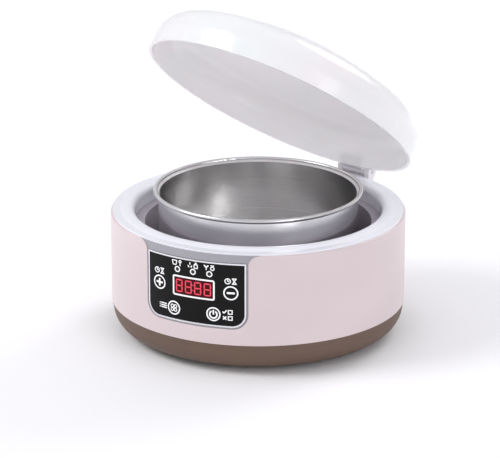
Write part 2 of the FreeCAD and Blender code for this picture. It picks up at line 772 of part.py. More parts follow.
def pot_seal():
    body = new_body("pot_seal")
    inner = shoulder_radius + size("fit_gap") * 2
    outer = inner + size("seal_width")
    revolve(body, [
        (inner, shoulder_top), (outer, shoulder_top),
        (outer, pot_flange_bottom), (inner, pot_flange_bottom)])
    return body


def heater_ring():
    body = new_body("heater_ring")
    inner, outer = size("heater_inner_radius"), stud_circle - size("heater_inset")
    revolve(body, [
        (inner, heater_bottom), (outer, heater_bottom),
        (outer, pot_floor_bottom), (inner, pot_floor_bottom)])
    return body


def heater_clamp():
    """A steel ring with three arms that the studs pull up against the heater."""
    body = new_body("heater_clamp")
    ring = sketch_on(body, "XY_Plane", clamp_bottom)
    draw_circle(ring, 0, 0, size("clamp_outer_radius"))
    draw_circle(ring, 0, 0, size("clamp_inner_radius"))
    pad(body, ring, size("clamp_height"))
    arm = sketch_on(body, "XY_Plane", clamp_bottom)
    half = size("clamp_arm_width") / 2
    near = -(size("clamp_inner_radius") + size("clamp_outer_radius")) / 2
    far = -stud_circle
    draw_outline(arm, [
        (-half, near),
        (-half, far, half, "left"),
        (0, far - half, half, "left"),
        (half, far),
        (half, near),
    ])
    repeat_round(body, pad(body, arm, size("clamp_height")), 3)
    holes = sketch_on(body, "XY_Plane", heater_bottom)
    for across, deep in stud_places():
        draw_circle(holes, across, deep, size("stud_radius") + size("fit_gap"))
    pocket(body, holes, size("clamp_height"))
    return body


def clamp_nuts():
    """Hexagon nuts on the pot's studs, under the clamp's arms."""
    body = new_body("clamp_nuts", separate=True)
    sketch = sketch_on(body, "XY_Plane", clamp_bottom)
    for across, deep in stud_places():
        corners = []
        for corner in range(6):
            angle = math.radians(60 * corner)
            corners.append((across + size("nut_radius") * math.cos(angle),
                            deep + size("nut_radius") * math.sin(angle)))
        draw_outline(sketch, corners)
        draw_circle(sketch, across, deep, size("stud_radius"))
    pad(body, sketch, size("nut_height"), backward=True)
    return body


def temperature_sensor():
    """The sensor's cap, pushed against the pot's floor by its spring."""
    body = new_body("temperature_sensor")
    bottom = pot_floor_bottom - size("sensor_height")
    brim = size("sensor_radius") + size("spring_wire_radius") * 2
    revolve(body, [
        (0, bottom), (brim, bottom), (brim, bottom + size("pot_wall")),
        (size("sensor_radius"), bottom + size("pot_wall")),
        (size("sensor_radius"), pot_floor_bottom), (0, pot_floor_bottom)])
    return body


def sensor_spring():
    """The coil spring between the base's floor and the temperature sensor."""
    wire = size("spring_wire_radius").value
    radius = size("spring_radius").value
    bottom = base_floor.value + wire
    top = pot_floor_bottom.value - size("sensor_height").value - wire
    pitch = (top - bottom) / size("spring_turns").value
    path = Part.makeHelix(pitch, top - bottom, radius)
    section = Part.Wire(Part.Circle(Vector(radius, 0, 0), Vector(0, 1, 0), wire).toShape())
    coil = Part.Wire(path.Edges).makePipeShell([section], True, True)
    spring = doc.addObject("Part::Feature", "sensor_spring")
    spring.Shape = coil
    spring.Placement = Placement(Vector(0, 0, bottom), Rotation())
    return spring


def thermal_fuse():
    """The thermal fuse against the pot's floor, with its two wire ends."""
    body = new_body("thermal_fuse")
    height = pot_floor_bottom - size("fuse_radius")
    place_across = -stud_circle
    can = sketch_on(body, "XZ_Plane")
    draw_circle(can, place_across, height, size("fuse_radius"))
    pad(body, can, size("fuse_length"), midplane=True)
    ends = sketch_on(body, "XZ_Plane")
    draw_circle(ends, place_across, height, size("spring_wire_radius"))
    pad(body, ends, size("fuse_length") * 2, midplane=True)
    return body


# ---- bowl -----------------------------------------------------------------------------

def bowl():
    """The lift-out steel bowl with a rolled rim."""
    body = new_body("bowl")
    outer = bowl_radius
    wall = size("bowl_wall")
    inner = outer - wall
    corner = size("bowl_corner_round")
    bead = size("bowl_bead_radius")
    top = bowl_top
    bead_middle = outer + size("bowl_rim_reach") - bead
    neck = top - bead * 3
    revolve(body, [
        (0, bowl_bottom),
        (outer - corner, bowl_bottom, corner, "left"),
        (outer, bowl_bottom + corner),
        (outer, neck),
        (bead_middle, top - bead * 1.5),
        (bead_middle, top - bead * 0.5),
        (inner, neck + wall),
        (inner, bowl_bottom + corner, corner - wall, "right"),
        (outer - corner, bowl_bottom + wall),
        (0, bowl_bottom + wall),
    ])
    roll = sketch_on(body, "XZ_Plane")
    draw_circle(roll, bead_middle, top - bead, bead)
    turn = body.newObject("PartDesign::Revolution", "bowl_bead")
    turn.Profile = roll
    turn.ReferenceAxis = (roll, ["V_Axis"])
    turn.Angle = 360.0
    return body


# ---- lid ------------------------------------------------------------------------------

def lid_pose():
    """The turn about the hinge axis that stands the lid open."""
    turn = Rotation(Vector(1, 0, 0), -size("lid_open_angle").value)
    opened = Placement(Vector(0, 0, 0), turn,
                       Vector(0, hinge_depth.value, hinge_height.value))
    return hinge_side().multiply(opened)


def lid_dome():
    """The domed lid, modelled closed, with a grip well and a bar across it."""
    body = new_body("lid_dome")
    rim = lid_radius
    wall = size("lid_wall")
    crown = size("lid_crown")
    side = size("lid_shoulder_round")
    skirt_top = lid_bottom + size("lid_skirt")
    # The crown's arc meets the shoulder's arc in one tangent.
    cap = (rim * rim + crown * crown - rim * side * 2) / ((crown - side) * 2)
    cap_centre = skirt_top + crown - cap
    lean_across = (rim - side) / (cap - side)
    lean_up = (cap - crown) / (cap - side)
    outer_meet = (rim - side + side * lean_across, skirt_top + side * lean_up)
    inner_meet = (rim - side + (side - wall) * lean_across,
                  skirt_top + (side - wall) * lean_up)
    mouth = size("well_radius") + size("well_flare")
    inner_mouth = mouth + wall
    floor = skirt_top + crown - size("well_depth")
    inner_cap = cap - wall
    revolve(body, [
        (rim, lid_bottom),
        (rim, skirt_top, side, "left"),
        outer_meet + (cap, "left"),
        (mouth, cap_centre + (cap * cap - mouth * mouth).root()),
        (size("well_radius"), floor),
        (0, floor),
        (0, floor - wall),
        (size("well_radius") + wall, floor - wall),
        (inner_mouth, cap_centre + (inner_cap * inner_cap - inner_mouth * inner_mouth).root(),
         inner_cap, "right"),
        inner_meet + (side - wall, "right"),
        (rim - wall, skirt_top),
        (rim - wall, lid_bottom),
    ])
    bar = sketch_on(body, "XZ_Plane")
    bar_cap = cap - size("grip_bar_drop")
    bar_half = size("well_radius") + size("well_flare") / 2
    bar_top = cap_centre + (bar_cap * bar_cap - bar_half * bar_half).root()
    draw_outline(bar, [
        (-bar_half, floor - wall / 2),
        (bar_half, floor - wall / 2),
        (bar_half, bar_top, bar_cap, "left"),
        (-bar_half, bar_top),
    ])
    pad(body, bar, size("grip_bar_width"), midplane=True)
    body.Placement = lid_pose()
    return body


def lid_hinge_arm():
    """The arm on the lid's skirt that carries the hinge barrel."""
    body = new_body("lid_hinge_arm_blank")
    barrel = size("hinge_barrel_radius")
    low = lid_bottom + size("move_gap")
    high = low + size("arm_height")
    near = lid_radius - size("lid_wall")
    profile = sketch_on(body, "YZ_Plane")
    draw_outline(profile, [
        (near, low),
        (hinge_depth - size("arm_heel"), low),
        (hinge_depth, hinge_height - barrel / 2),
        (hinge_depth, hinge_height + barrel),
        (lid_radius + size("lid_wall"), high),
        (near, high),
    ])
    pad(body, profile, size("hinge_barrel_width"), midplane=True)
    round_end = sketch_on(body, "YZ_Plane")
    draw_circle(round_end, hinge_depth, hinge_height, barrel)
    pad(body, round_end, size("hinge_barrel_width"), midplane=True)
    bore = sketch_on(body, "YZ_Plane")
    draw_circle(bore, hinge_depth, hinge_height,
                size("hinge_pin_radius") + size("hinge_pin_clearance"))
    pocket(body, bore, size("hinge_barrel_width") * 2, midplane=True)
    skirt = cylinder("lid_skirt_side", lid_radius, guide_height)
    arm = boolean("Cut", "lid_hinge_arm", body, skirt)
    arm.Placement = lid_pose()
    return arm


# ---- hinge ----------------------------------------------------------------------------

def hinge_screw_across(side):
    return size("hinge_screw_spacing") / 2 * side


def hinge_screw_up():
    return shell_top - size("bracket_height") + size("bracket_screw_rise")


def hinge_side():
    """The turn about the upright axis that sets the hinge to one side of straight behind."""
    return Placement(Vector(0, 0, 0), Rotation(Vector(0, 0, 1), size("hinge_turn").value))


def hinge_slot_half():
    return size("hinge_barrel_width") / 2 + size("move_gap")


def hinge_bracket():
    """The bracket on the back of the shell, with two ears for the hinge pin."""
    body = new_body("hinge_bracket_blank")
    ear = size("hinge_barrel_radius")
    width = (hinge_slot_half() + size("hinge_ear_wall")) * 2
    plate_back = shell_radius + size("bracket_wall")
    low = shell_top - size("bracket_height")
    near = shell_radius - size("shell_wall") * 2
    profile = sketch_on(body, "YZ_Plane")
    draw_outline(profile, [
        (near, low),
        (plate_back, low),
        (plate_back, shell_top - ear * 2),
        (hinge_depth + ear, hinge_height),
        (hinge_depth - ear, hinge_height),
        (hinge_depth - ear, shell_top - ear),
        (near, shell_top - ear),
    ])
    pad(body, profile, width, midplane=True)
    ears = sketch_on(body, "YZ_Plane")
    draw_circle(ears, hinge_depth, hinge_height, ear)
    pad(body, ears, width, midplane=True)
    slot = sketch_on(body, "YZ_Plane")
    slot_floor = hinge_height - ear - size("move_gap") * 2
    draw_outline(slot, [
        (near, slot_floor), (hinge_depth + ear * 2, slot_floor),
        (hinge_depth + ear * 2, hinge_height + ear * 2), (near, hinge_height + ear * 2)])
    pocket(body, slot, hinge_slot_half() * 2, midplane=True)
    bore = sketch_on(body, "YZ_Plane")
    draw_circle(bore, hinge_depth, hinge_height, size("hinge_pin_radius"))
    pocket(body, bore, width * 2, midplane=True)
    holes = sketch_on(body, "XZ_Plane")
    for side in (-1, 1):
        draw_circle(holes, hinge_screw_across(side), hinge_screw_up(),
                    size("hinge_screw_radius"))
    pocket(body, holes, past_hinge)
    shell_side = cylinder("shell_side", shell_radius, guide_height)
    bracket = boolean("Cut", "hinge_bracket", body, shell_side)
    bracket.Placement = hinge_side()
    return bracket


def hinge_pin():
    body = new_body("hinge_pin")
    sketch = sketch_on(body, "YZ_Plane")
    draw_circle(sketch, hinge_depth, hinge_height, size("hinge_pin_radius"))
    pad(body, sketch, (hinge_slot_half() + size("hinge_ear_wall")) * 2, midplane=True)
    body.Placement = hinge_side()
    return body


def hinge_screws():
    """Two screws through the bracket's plate into the outer shell."""
    body = new_body("hinge_screws", separate=True)
    plate_back = shell_radius + size("bracket_wall")
    heads = sketch_on(body, "XZ_Plane", -plate_back)
    shanks = sketch_on(body, "XZ_Plane", -plate_back)
    for side in (-1, 1):
        draw_circle(heads, hinge_screw_across(side), hinge_screw_up(),
                    size("screw_head_radius"))
        draw_circle(shanks, hinge_screw_across(side), hinge_screw_up(),
                    size("hinge_screw_radius"))
    pad(body, heads, size("screw_head_height"), backward=True)
    pad(body, shanks, size("hinge_screw_length"))
    body.Placement = hinge_side()
    return body


# ---- control panel --------------------------------------------------------------------

def indicator_places():
    height = panel_top - size("indicator_drop")
    return [(size("indicator_spacing") * step, height) for step in (-1, 0, 1)]


def draw_display(sketch, margin):
    draw_rectangle(sketch, 0, display_height,
                   size("display_width") + as_size(margin) * 2,
                   size("display_height") + as_size(margin) * 2)


def draw_key_holes(sketch):
    for across, up in KEYS.values():
        draw_circle(sketch, across, up, size("key_radius") + size("move_gap"))
    for across, up in indicator_places():
        draw_circle(sketch, across, up, size("indicator_radius") + size("fit_gap"))


def panel_lens():
    """The glossy black front, with openings for the keys, display and indicators."""
    def front(sketch):
        panel_outline(sketch, as_size(0), panel_top)
        draw_display(sketch, size("fit_gap"))
        draw_key_holes(sketch)
    return bent_plate("panel_lens", front, lens_inner, lens_outer)


def panel_trim():
    """The thin silver frame round the lens."""
    def front(sketch):
        panel_outline(sketch, trim_margin(), panel_top + trim_margin())
        panel_outline(sketch, size("fit_gap"), panel_top + size("fit_gap"))
    return bent_plate("panel_trim", front, lens_inner, shell_radius + size("key_proud"))


def panel_carrier():
    """The white part that fills the shell's notch and holds the lens and the board."""
    def front(sketch):
        panel_outline(sketch, carrier_margin(), shell_top, flared=True)
        draw_display(sketch, -size("fit_gap") * 2)
        draw_key_holes(sketch)

    def rebate(sketch):
        panel_outline(sketch, trim_margin() + size("fit_gap"),
                      panel_top + trim_margin() + size("fit_gap"))

    plate = bent_plate("panel_carrier_plate", front, carrier_inner, carrier_outer)
    pocket_shape = bent_plate("panel_carrier_rebate", rebate, lens_inner, past_shell)
    framed = boolean("Cut", "panel_carrier_frame", plate, pocket_shape)

    bosses = new_body("panel_carrier_bosses", separate=True)
    sketch = sketch_on(bosses, "XZ_Plane", board_front)
    for across, up in control_screw_places():
        draw_circle(sketch, across, up, size("board_boss_radius"))
        draw_circle(sketch, across, up, size("board_screw_radius"))
    pad(bosses, sketch, lens_inner - board_front)
    inside = cylinder("panel_carrier_inside", carrier_inner + size("fit_gap"), guide_height)
    trimmed = boolean("Common", "panel_carrier_posts", bosses, inside)
    return boolean("Fuse", "panel_carrier", framed, trimmed)


def display_window():
    """The dark red window over the display."""
    def front(sketch):
        draw_display(sketch, 0)
    return bent_plate("display_window", front, lens_inner, lens_outer)


def indicator_lenses():
    """Three light pipes between the indicator LEDs and the lens's front."""
    pipes = new_body("indicator_lens_pipes", separate=True)
    start = board_front + size("led_height")
    sketch = sketch_on(pipes, "XZ_Plane", start)
    for across, up in indicator_places():
        draw_circle(sketch, across, up, size("indicator_radius"))
    pad(pipes, sketch, shell_radius - start)
    disc = cylinder("indicator_lens_front", lens_outer, guide_height)
    return boolean("Common", "indicator_lenses", pipes, disc)


def push_key(name):
    """A key cap whose front follows the panel, with a skirt behind the carrier."""
    across, up = KEYS[name]
    front_radius = shell_radius + size("key_proud")
    skirt_front = carrier_inner - size("move_gap")
    back = board_front + size("key_travel") + size("move_gap") * 1.5
    recess = (board_front + size("switch_height") + size("switch_plunger_height")
              + size("key_travel") + size("move_gap"))
    reach = past_shell - back

    def rod(part, radius, start, length):
        return cylinder(name + part, radius, length, across, -start, up, forward=True)

    cap_front = cylinder(name + "_front", front_radius, guide_height)
    skirt_limit = cylinder(name + "_limit", skirt_front, guide_height)
    cap = boolean("Common", name + "_cap", rod("_rod", size("key_radius"), back, reach),
                  cap_front)
    skirt = boolean("Common", name + "_skirt",
                    rod("_flange", size("key_skirt_radius"), back, reach), skirt_limit)
    solid = boolean("Fuse", name + "_solid", cap, skirt)
    hollow = rod("_hollow", size("key_recess_radius"), board_front,
                 recess - board_front)
    return boolean("Cut", name, solid, hollow)


# ---- electronics ----------------------------------------------------------------------

def control_screw_places():
    half = size("board_width") / 2 - size("board_screw_inset")
    low = board_low + size("board_screw_inset")
    high = board_high - size("board_screw_inset")
    return [(-half, low), (half, low), (half, high), (-half, high)]


def power_screw_places():
    half_width = size("power_width") / 2 - size("board_screw_inset")
    half_depth = size("power_depth") / 2 - size("board_screw_inset")
    return [(half_width * along, power_middle + half_depth * deep)
            for along, deep in QUARTERS]


def control_board():
    """The upright board behind the panel."""
    body = new_body("control_board")
    sketch = sketch_on(body, "XZ_Plane", board_front)
    draw_rectangle(sketch, 0, (board_low + board_high) / 2, size("board_width"),
                   board_high - board_low)
    for across, up in control_screw_places():
        draw_circle(sketch, across, up, size("board_screw_radius") + size("fit_gap"))
    pad(body, sketch, size("board_wall"), backward=True)
    return body


def control_board_screws():
    body = new_body("control_board_screws", separate=True)
    heads = sketch_on(body, "XZ_Plane", board_back)
    shanks = sketch_on(body, "XZ_Plane", board_back)
    for across, up in control_screw_places():
        draw_circle(heads, across, up, size("board_screw_head"))
        draw_circle(shanks, across, up, size("board_screw_radius"))
    pad(body, heads, size("board_wall"), backward=True)
    # The shanks end short of the carrier's curved back, at their outer edge.
    outer = size("board_width") / 2 - size("board_screw_inset") + size("board_screw_radius")
    carrier_back = (carrier_inner * carrier_inner - outer * outer).root()
    pad(body, shanks, carrier_back - board_back - size("fit_gap"))
    return body


def controller_chip():
    body = new_body("controller_chip")
    sketch = sketch_on(body, "XZ_Plane", board_back)
    draw_rectangle(sketch, 0, panel_bottom + size("lower_key_rise"), size("chip_width"),
                   size("chip_width"))
    pad(body, sketch, size("chip_height"), backward=True)
    return body


def tact_switches():
    """One switch behind each key; its plunger is drawn at its pressed height."""
    body = new_body("tact_switches", separate=True)
    cases = sketch_on(body, "XZ_Plane", board_front)
    plungers = sketch_on(body, "XZ_Plane", board_front)
    for across, up in KEYS.values():
        draw_rectangle(cases, across, up, size("switch_width"), size("switch_width"))
        draw_circle(plungers, across, up, size("switch_plunger_radius"))
    pad(body, cases, size("switch_height"))
    pad(body, plungers, size("switch_height") + size("switch_plunger_height"))
    return body


def indicator_leds():
    body = new_body("indicator_leds", separate=True)
    sketch = sketch_on(body, "XZ_Plane", board_front)
    for across, up in indicator_places():
        draw_rectangle(sketch, across, up, size("led_width"), size("led_width"))
    pad(body, sketch, size("led_height"))
    return body


def display_module():
    """The four-digit display, between the control board and the carrier."""
    body = new_body("display_module")
    sketch = sketch_on(body, "XZ_Plane", board_front)
    draw_display(sketch, 0)
    half = size("display_width") / 2
    carrier_back = (carrier_inner * carrier_inner - half * half).root()
    pad(body, sketch, carrier_back - board_front - size("fit_gap"))
    return body


def power_board():
    """The flat board on the base's standoffs."""
    body = new_body("power_board")
    sketch = sketch_on(body, "XY_Plane", power_bottom)
    draw_rectangle(sketch, 0, power_middle, size("power_width"), size("power_depth"))
    for across, deep in power_screw_places():
        draw_circle(sketch, across, deep, size("board_screw_radius") + size("fit_gap"))
    pad(body, sketch, size("board_wall"))
    return body


def power_board_screws():
    body = new_body("power_board_screws", separate=True)
    heads = sketch_on(body, "XY_Plane", power_top)
    shanks = sketch_on(body, "XY_Plane", power_top)
    for across, deep in power_screw_places():
        draw_circle(heads, across, deep, size("board_screw_head"))
        draw_circle(shanks, across, deep, size("board_screw_radius"))
    pad(body, heads, size("board_wall"))
    pad(body, shanks, size("board_wall") * 3, backward=True)
    return body


def relay():
    body = new_body("relay")
    sketch = sketch_on(body, "XY_Plane", power_top)
    draw_rectangle(sketch, size("relay_width"), power_middle, size("relay_width"),
                   size("relay_depth"))
    pad(body, sketch, size("relay_height"))
    return body


def transformer():
    body = new_body("transformer")
    sketch = sketch_on(body, "XY_Plane", power_top)
    draw_rectangle(sketch, -size("transformer_offset"), power_middle,
                   size("transformer_width"), size("transformer_width"))
    pad(body, sketch, size("transformer_height"))
    return body


def capacitor():
    body = new_body("capacitor")
    sketch = sketch_on(body, "XY_Plane", power_top)
    draw_circle(sketch, 0, power_middle + size("capacitor_radius"), size("capacitor_radius"))
    pad(body, sketch, size("capacitor_height"))
    return body


def mains_leads():
    """Two short insulated leads from the inlet to the power board."""
    body = new_body("mains_leads", separate=True)
    board_end = power_rear - size("lead_radius") * 3
    sketch = sketch_on(body, "XZ_Plane", -board_end)
    for side in (-1, 1):
        draw_circle(sketch, size("lead_spacing") / 2 * side, power_top + size("lead_radius"),
                    size("lead_radius"))
    pad(body, sketch, inlet_back - board_end, backward=True)
    return body


def heater_leads():
    """Two insulated leads from the power board up to the ring heater."""
    body = new_body("heater_leads", separate=True)
    sketch = sketch_on(body, "XY_Plane", power_top)
    deep = power_front + size("board_screw_inset") * 3
    for side in (-1, 1):
        draw_circle(sketch, size("heater_lead_spacing") / 2 * side, deep, size("lead_radius"))
    pad(body, sketch, heater_bottom - power_top)
    return body


def ribbon_cable():
    """The flat cable from the back of the control board to the power board's edge."""
    body = new_body("ribbon_cable")
    thick = size("ribbon_thickness")
    front = -board_back
    floor = base_floor + size("move_gap") * 4
    end = power_front
    start_up = board_low + size("board_screw_inset") * 3
    bend = thick * 4
    sketch = sketch_on(body, "YZ_Plane", size("ribbon_offset"))
    draw_outline(sketch, [
        (front, start_up),
        (front, floor + bend, bend, "left"),
        (front + bend, floor),
        (end - bend, floor, bend, "left"),
        (end, floor + bend),
        (end, power_top + thick),
        (end - thick, power_top + thick),
        (end - thick, floor + bend, bend - thick, "right"),
        (end - bend, floor + thick),
        (front + bend, floor + thick, bend - thick, "right"),
        (front + thick, floor + bend),
        (front + thick, start_up),
    ])
    pad(body, sketch, size("ribbon_width"), midplane=True)
    return body


def inlet_socket():
    """The two-pin mains inlet in the back of the base."""
    body = new_body("inlet_socket")
    case = sketch_on(body, "XZ_Plane", -inlet_face)
    draw_rectangle(case, 0, size("inlet_rise"), size("inlet_width"), size("inlet_height"))
    pad(body, case, size("inlet_length"))
    recess = sketch_on(body, "XZ_Plane", -inlet_face)
    half = size("lead_spacing") / 2
    bow = size("inlet_recess_height") / 2
    high, low = size("inlet_rise") + bow, size("inlet_rise") - bow
    draw_outline(recess, [
        (-half, low), (half, low, bow, "left"), (half + bow, size("inlet_rise"), bow, "left"),
        (half, high), (-half, high, bow, "left"),
        (-half - bow, size("inlet_rise"), bow, "left")])
    pocket(body, recess, size("inlet_recess_depth"), backward=True)
    return body


def inlet_pins():
    body = new_body("inlet_pins", separate=True)
    floor = inlet_face - size("inlet_recess_depth")
    sketch = sketch_on(body, "XZ_Plane", -floor)
    for side in (-1, 1):
        draw_circle(sketch, size("lead_spacing") / 2 * side, size("inlet_rise"),
                    size("inlet_pin_radius"))
    pad(body, sketch, size("inlet_pin_length"), backward=True)
    return body


# ---- build and export -----------------------------------------------------------------

BUILDERS = [
    outer_shell, base_shell, top_ring, rubber_feet, base_screws,
    heating_pot, pot_seal, heater_ring, heater_clamp, clamp_nuts,
    temperature_sensor, sensor_spring, thermal_fuse,
    bowl, lid_dome, lid_hinge_arm, hinge_bracket, hinge_pin, hinge_screws,
    panel_lens, panel_trim, panel_carrier, display_window, indicator_lenses,
    control_board, control_board_screws, controller_chip, tact_switches,
    indicator_leds, display_module,
    power_board, power_board_screws, relay, transformer, capacitor,
    mains_leads, heater_leads, ribbon_cable, inlet_socket, inlet_pins,
]


def check_document():
    """Stop if any object of the document failed to compute."""
    for obj in doc.Objects:
        if "Invalid" in obj.State or "Error" in obj.State:
            raise RuntimeError("%s failed: %s" % (obj.Name, obj.State))


def check_shape(node):
    shape = node.Shape
    if shape.isNull() or not shape.isValid() or not shape.Solids:
        raise RuntimeError("%s has no valid solid" % node.Label)


def main():
    nodes = [build() for build in BUILDERS]
    nodes += [push_key(name) for name in KEYS]
    doc.recompute()
    check_document()
    os.makedirs("parts", exist_ok=True)
    for node in nodes:
        node.Label = node.Name
        check_shape(node)
        node.Shape.exportStep("parts/%s.step" % node.Label)
        print("%-22s %2d solids %10.1f mm3" % (node.Label, len(node.Shape.Solids),
                                               node.Shape.Volume))


main()
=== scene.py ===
import json
import math

import bpy
from bpy.props import FloatProperty, FloatVectorProperty, PointerProperty
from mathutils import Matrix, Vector


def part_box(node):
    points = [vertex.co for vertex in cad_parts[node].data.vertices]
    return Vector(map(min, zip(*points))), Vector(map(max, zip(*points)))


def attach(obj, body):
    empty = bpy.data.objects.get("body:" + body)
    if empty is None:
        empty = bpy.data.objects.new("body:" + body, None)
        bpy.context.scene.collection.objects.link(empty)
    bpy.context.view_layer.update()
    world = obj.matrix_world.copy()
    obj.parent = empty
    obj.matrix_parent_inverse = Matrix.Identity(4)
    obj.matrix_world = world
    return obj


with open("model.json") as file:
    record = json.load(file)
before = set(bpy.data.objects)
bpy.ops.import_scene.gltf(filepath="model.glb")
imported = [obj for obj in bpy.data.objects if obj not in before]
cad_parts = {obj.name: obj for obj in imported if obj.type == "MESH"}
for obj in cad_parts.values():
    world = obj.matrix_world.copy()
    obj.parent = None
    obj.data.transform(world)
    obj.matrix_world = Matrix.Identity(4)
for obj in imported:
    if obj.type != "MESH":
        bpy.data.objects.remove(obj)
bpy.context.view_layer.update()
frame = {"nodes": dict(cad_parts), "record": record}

bl_info = {
    "name": "Yogurt Maker",
    "version": (1, 0, 0),
    "blender": (4, 5, 0),
    "location": "3D View > Sidebar > Yogurt Maker",
    "description": "Finishes, printed markings and a studio round a table-top yogurt maker",
    "category": "Object",
}

MM = 0.001
SLOT_OF_NODE = {part["node"]: part["material_slot"] for part in frame["record"]["subparts"]}


# ---------------------------------------------------------------- places read from the frame


def middle(node):
    """The middle of a CAD node's box."""
    low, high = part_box(node)
    return (low + high) / 2


def extent(node):
    """How far a CAD node reaches along x, y and z."""
    low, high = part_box(node)
    return high - low


def paint(red, green, blue):
    """A colour as a paint chart gives it, 0 to 255, as the linear light that Blender mixes."""
    def linear(value):
        share = value / 255
        return share / 12.92 if share <= 0.04045 else ((share + 0.055) / 1.055) ** 2.4

    return (linear(red), linear(green), linear(blue))


# ---------------------------------------------------------------- what a user would change


def length(name, description, default):
    """A length in metres that shows in the scene's own unit."""
    return FloatProperty(name=name, description=description, default=default, unit="LENGTH",
                         subtype="DISTANCE", min=0.0, precision=5)


def tint(name, description, default):
    """A colour with a colour picker."""
    return FloatVectorProperty(name=name, description=description, default=default, size=3,
                               subtype="COLOR", min=0.0, max=1.0)


class YogurtMakerPrintSizes(bpy.types.PropertyGroup):
    """Sizes of what is printed on the control panel and of the lit digits."""

    digit_height: length("Digit height", "Height of one lit digit",
                         extent("display_window").z * 0.79)
    digit_width: length("Digit width", "Width of one lit digit, without its lean",
                        extent("display_window").x * 0.19)
    digit_pitch: length("Digit pitch", "Distance from one digit to the next",
                        extent("display_window").x * 0.245)
    segment_width: length("Segment width", "Width of one bar of a digit", 1.05 * MM)
    frame_line: length("Frame line", "Width of the white line round the display", 1.1 * MM)
    ring_line: length("Key ring line", "Width of the white ring on each key", 0.9 * MM)
    symbol_line: length("Symbol line", "Width of the strokes of the key symbols", 1.3 * MM)
    mark_line: length("Mark line", "Width of the strokes of the small pictograms", 0.5 * MM)
    mark_size: FloatProperty(name="Mark size", default=1.3, min=0.1, subtype="FACTOR",
                             description="Size of the small pictograms against their drawing")
    ink: length("Ink thickness", "Thickness of the printed ink", 0.06 * MM)
    lift: length("Ink height", "How far the ink's face stands in front of the panel", 0.09 * MM)


class YogurtMakerColours(bpy.types.PropertyGroup):
    """Colours of the mouldings, the metal and the display."""

    shell: tint("Shell", "Pale pink of the housing", paint(214, 199, 201))
    base: tint("Base", "Grey-brown of the base tray", paint(104, 84, 72))
    ring: tint("Top ring", "Cool white of the top ring", paint(236, 236, 244))
    # this grey is partly the carrier's own and partly painted shade for the shadowed band under
    # the top ring
    carrier: tint("Panel carrier", "Grey of the frame outside the silver trim",
                  paint(158, 156, 163))
    # the lid's colour also tints its painted glow
    lid: tint("Lid", "Milky white of the lid", paint(243, 241, 243))
    steel: tint("Bowl steel", "Polished steel of the bowl", paint(226, 225, 225))
    pot: tint("Heating pot", "Lilac-grey metal round the bowl", paint(198, 190, 200))
    panel: tint("Panel", "Gloss black of the control panel", paint(7, 7, 8))
    print_white: tint("Print", "White ink on the panel", paint(246, 246, 246))
    window: tint("Display window", "Dark red of the display window", paint(66, 2, 10))
    digits: tint("Digits", "Red light of the digits", paint(214, 58, 76))


class YogurtMakerStudio(bpy.types.PropertyGroup):
    """The camera and the lights."""

    turn: FloatProperty(name="Camera turn", default=math.radians(25.2), subtype="ANGLE",
                        unit="ROTATION",
                        description="How far the camera stands round to the right")
    height: FloatProperty(name="Camera height", description="How far the camera looks down",
                          default=math.radians(20.0), subtype="ANGLE", unit="ROTATION")
    distance: length("Camera distance", "From the camera to the middle of the base", 2.0)
    lens: FloatProperty(name="Lens", description="Focal length in millimetres on a 36 mm sensor",
                        default=210.0, min=20.0, subtype="DISTANCE_CAMERA", unit="CAMERA")
    aim_left: length("Aim left", "How far left of the base's middle the camera aims", 5.6 * MM)
    aim_up: length("Aim up", "How far above the base's middle the camera aims", 44.5 * MM)
    lights: FloatProperty(name="Lights", default=1.0, min=0.0, subtype="FACTOR",
                          description="Brightness of the soft boxes against their usual power")
    floor: tint("Floor", "Pale floor", paint(244, 243, 245))


# ---------------------------------------------------------------- small modelling steps


def start_clean():
    """Object mode with nothing selected, so that the next step acts only on its own piece."""
    if bpy.context.mode != "OBJECT":
        bpy.ops.object.mode_set(mode="OBJECT")
    bpy.ops.object.select_all(action="DESELECT")


def pick(*pieces):
    """Selects these objects alone; the last one is the active one."""
    start_clean()
    for piece in pieces:
        piece.select_set(True)
    bpy.context.view_layer.objects.active = pieces[-1]


def set_down(piece):
    """Puts the piece's place, turn and scale into its mesh."""
    pick(piece)
    bpy.ops.object.transform_apply(location=True, rotation=True, scale=True)
    return piece


def join(name, pieces):
    """One named object from several."""
    pick(*pieces)
    if len(pieces) > 1:
        bpy.ops.object.join()
    piece = bpy.context.view_layer.objects.active
    piece.name = name
    piece.data.name = name
    return piece


def dress(node, finish):
    """Gives a CAD node its finish."""
    owner = frame["nodes"][node]
    if not owner.material_slots:
        owner.data.materials.append(finish)
    for slot in owner.material_slots:
        slot.material = finish


def dress_slot(slot_name, finish):
    """Gives a finish to every CAD node of one material slot of the record."""
    nodes = [node for node, slot in SLOT_OF_NODE.items() if slot == slot_name]
    if not nodes:
        raise RuntimeError("no CAD node has the material slot " + slot_name)
    for node in nodes:
        dress(node, finish)


def place_piece(piece, finish, body):
    """Finishes a new piece: its material and the body it moves with."""
    piece.data.materials.clear()
    piece.data.materials.append(finish)
    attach(piece, body)
    start_clean()


# ---------------------------------------------------------------- finishes


def new_finish(name, colour, roughness, metallic=0.0, settings=None):
    """A material whose plain values sit on the shader itself."""
    finish = bpy.data.materials.new(name)
    finish.use_nodes = True
    shader = finish.node_tree.nodes["Principled BSDF"]
    shader.inputs["Base Color"].default_value = (*colour, 1.0)
    shader.inputs["Roughness"].default_value = roughness
    shader.inputs["Metallic"].default_value = metallic
    for socket, value in (settings or {}).items():
        shader.inputs[socket].default_value = value
    return finish


def where(finish, stretch=(1.0, 1.0, 1.0)):
    """The place on the object, stretched as the pattern needs."""
    nodes, links = finish.node_tree.nodes, finish.node_tree.links
    coordinates = nodes.new("ShaderNodeTexCoord")
    mapping = nodes.new("ShaderNodeMapping")
    mapping.inputs["Scale"].default_value = stretch
    links.new(coordinates.outputs["Object"], mapping.inputs["Vector"])
    return mapping.outputs["Vector"]


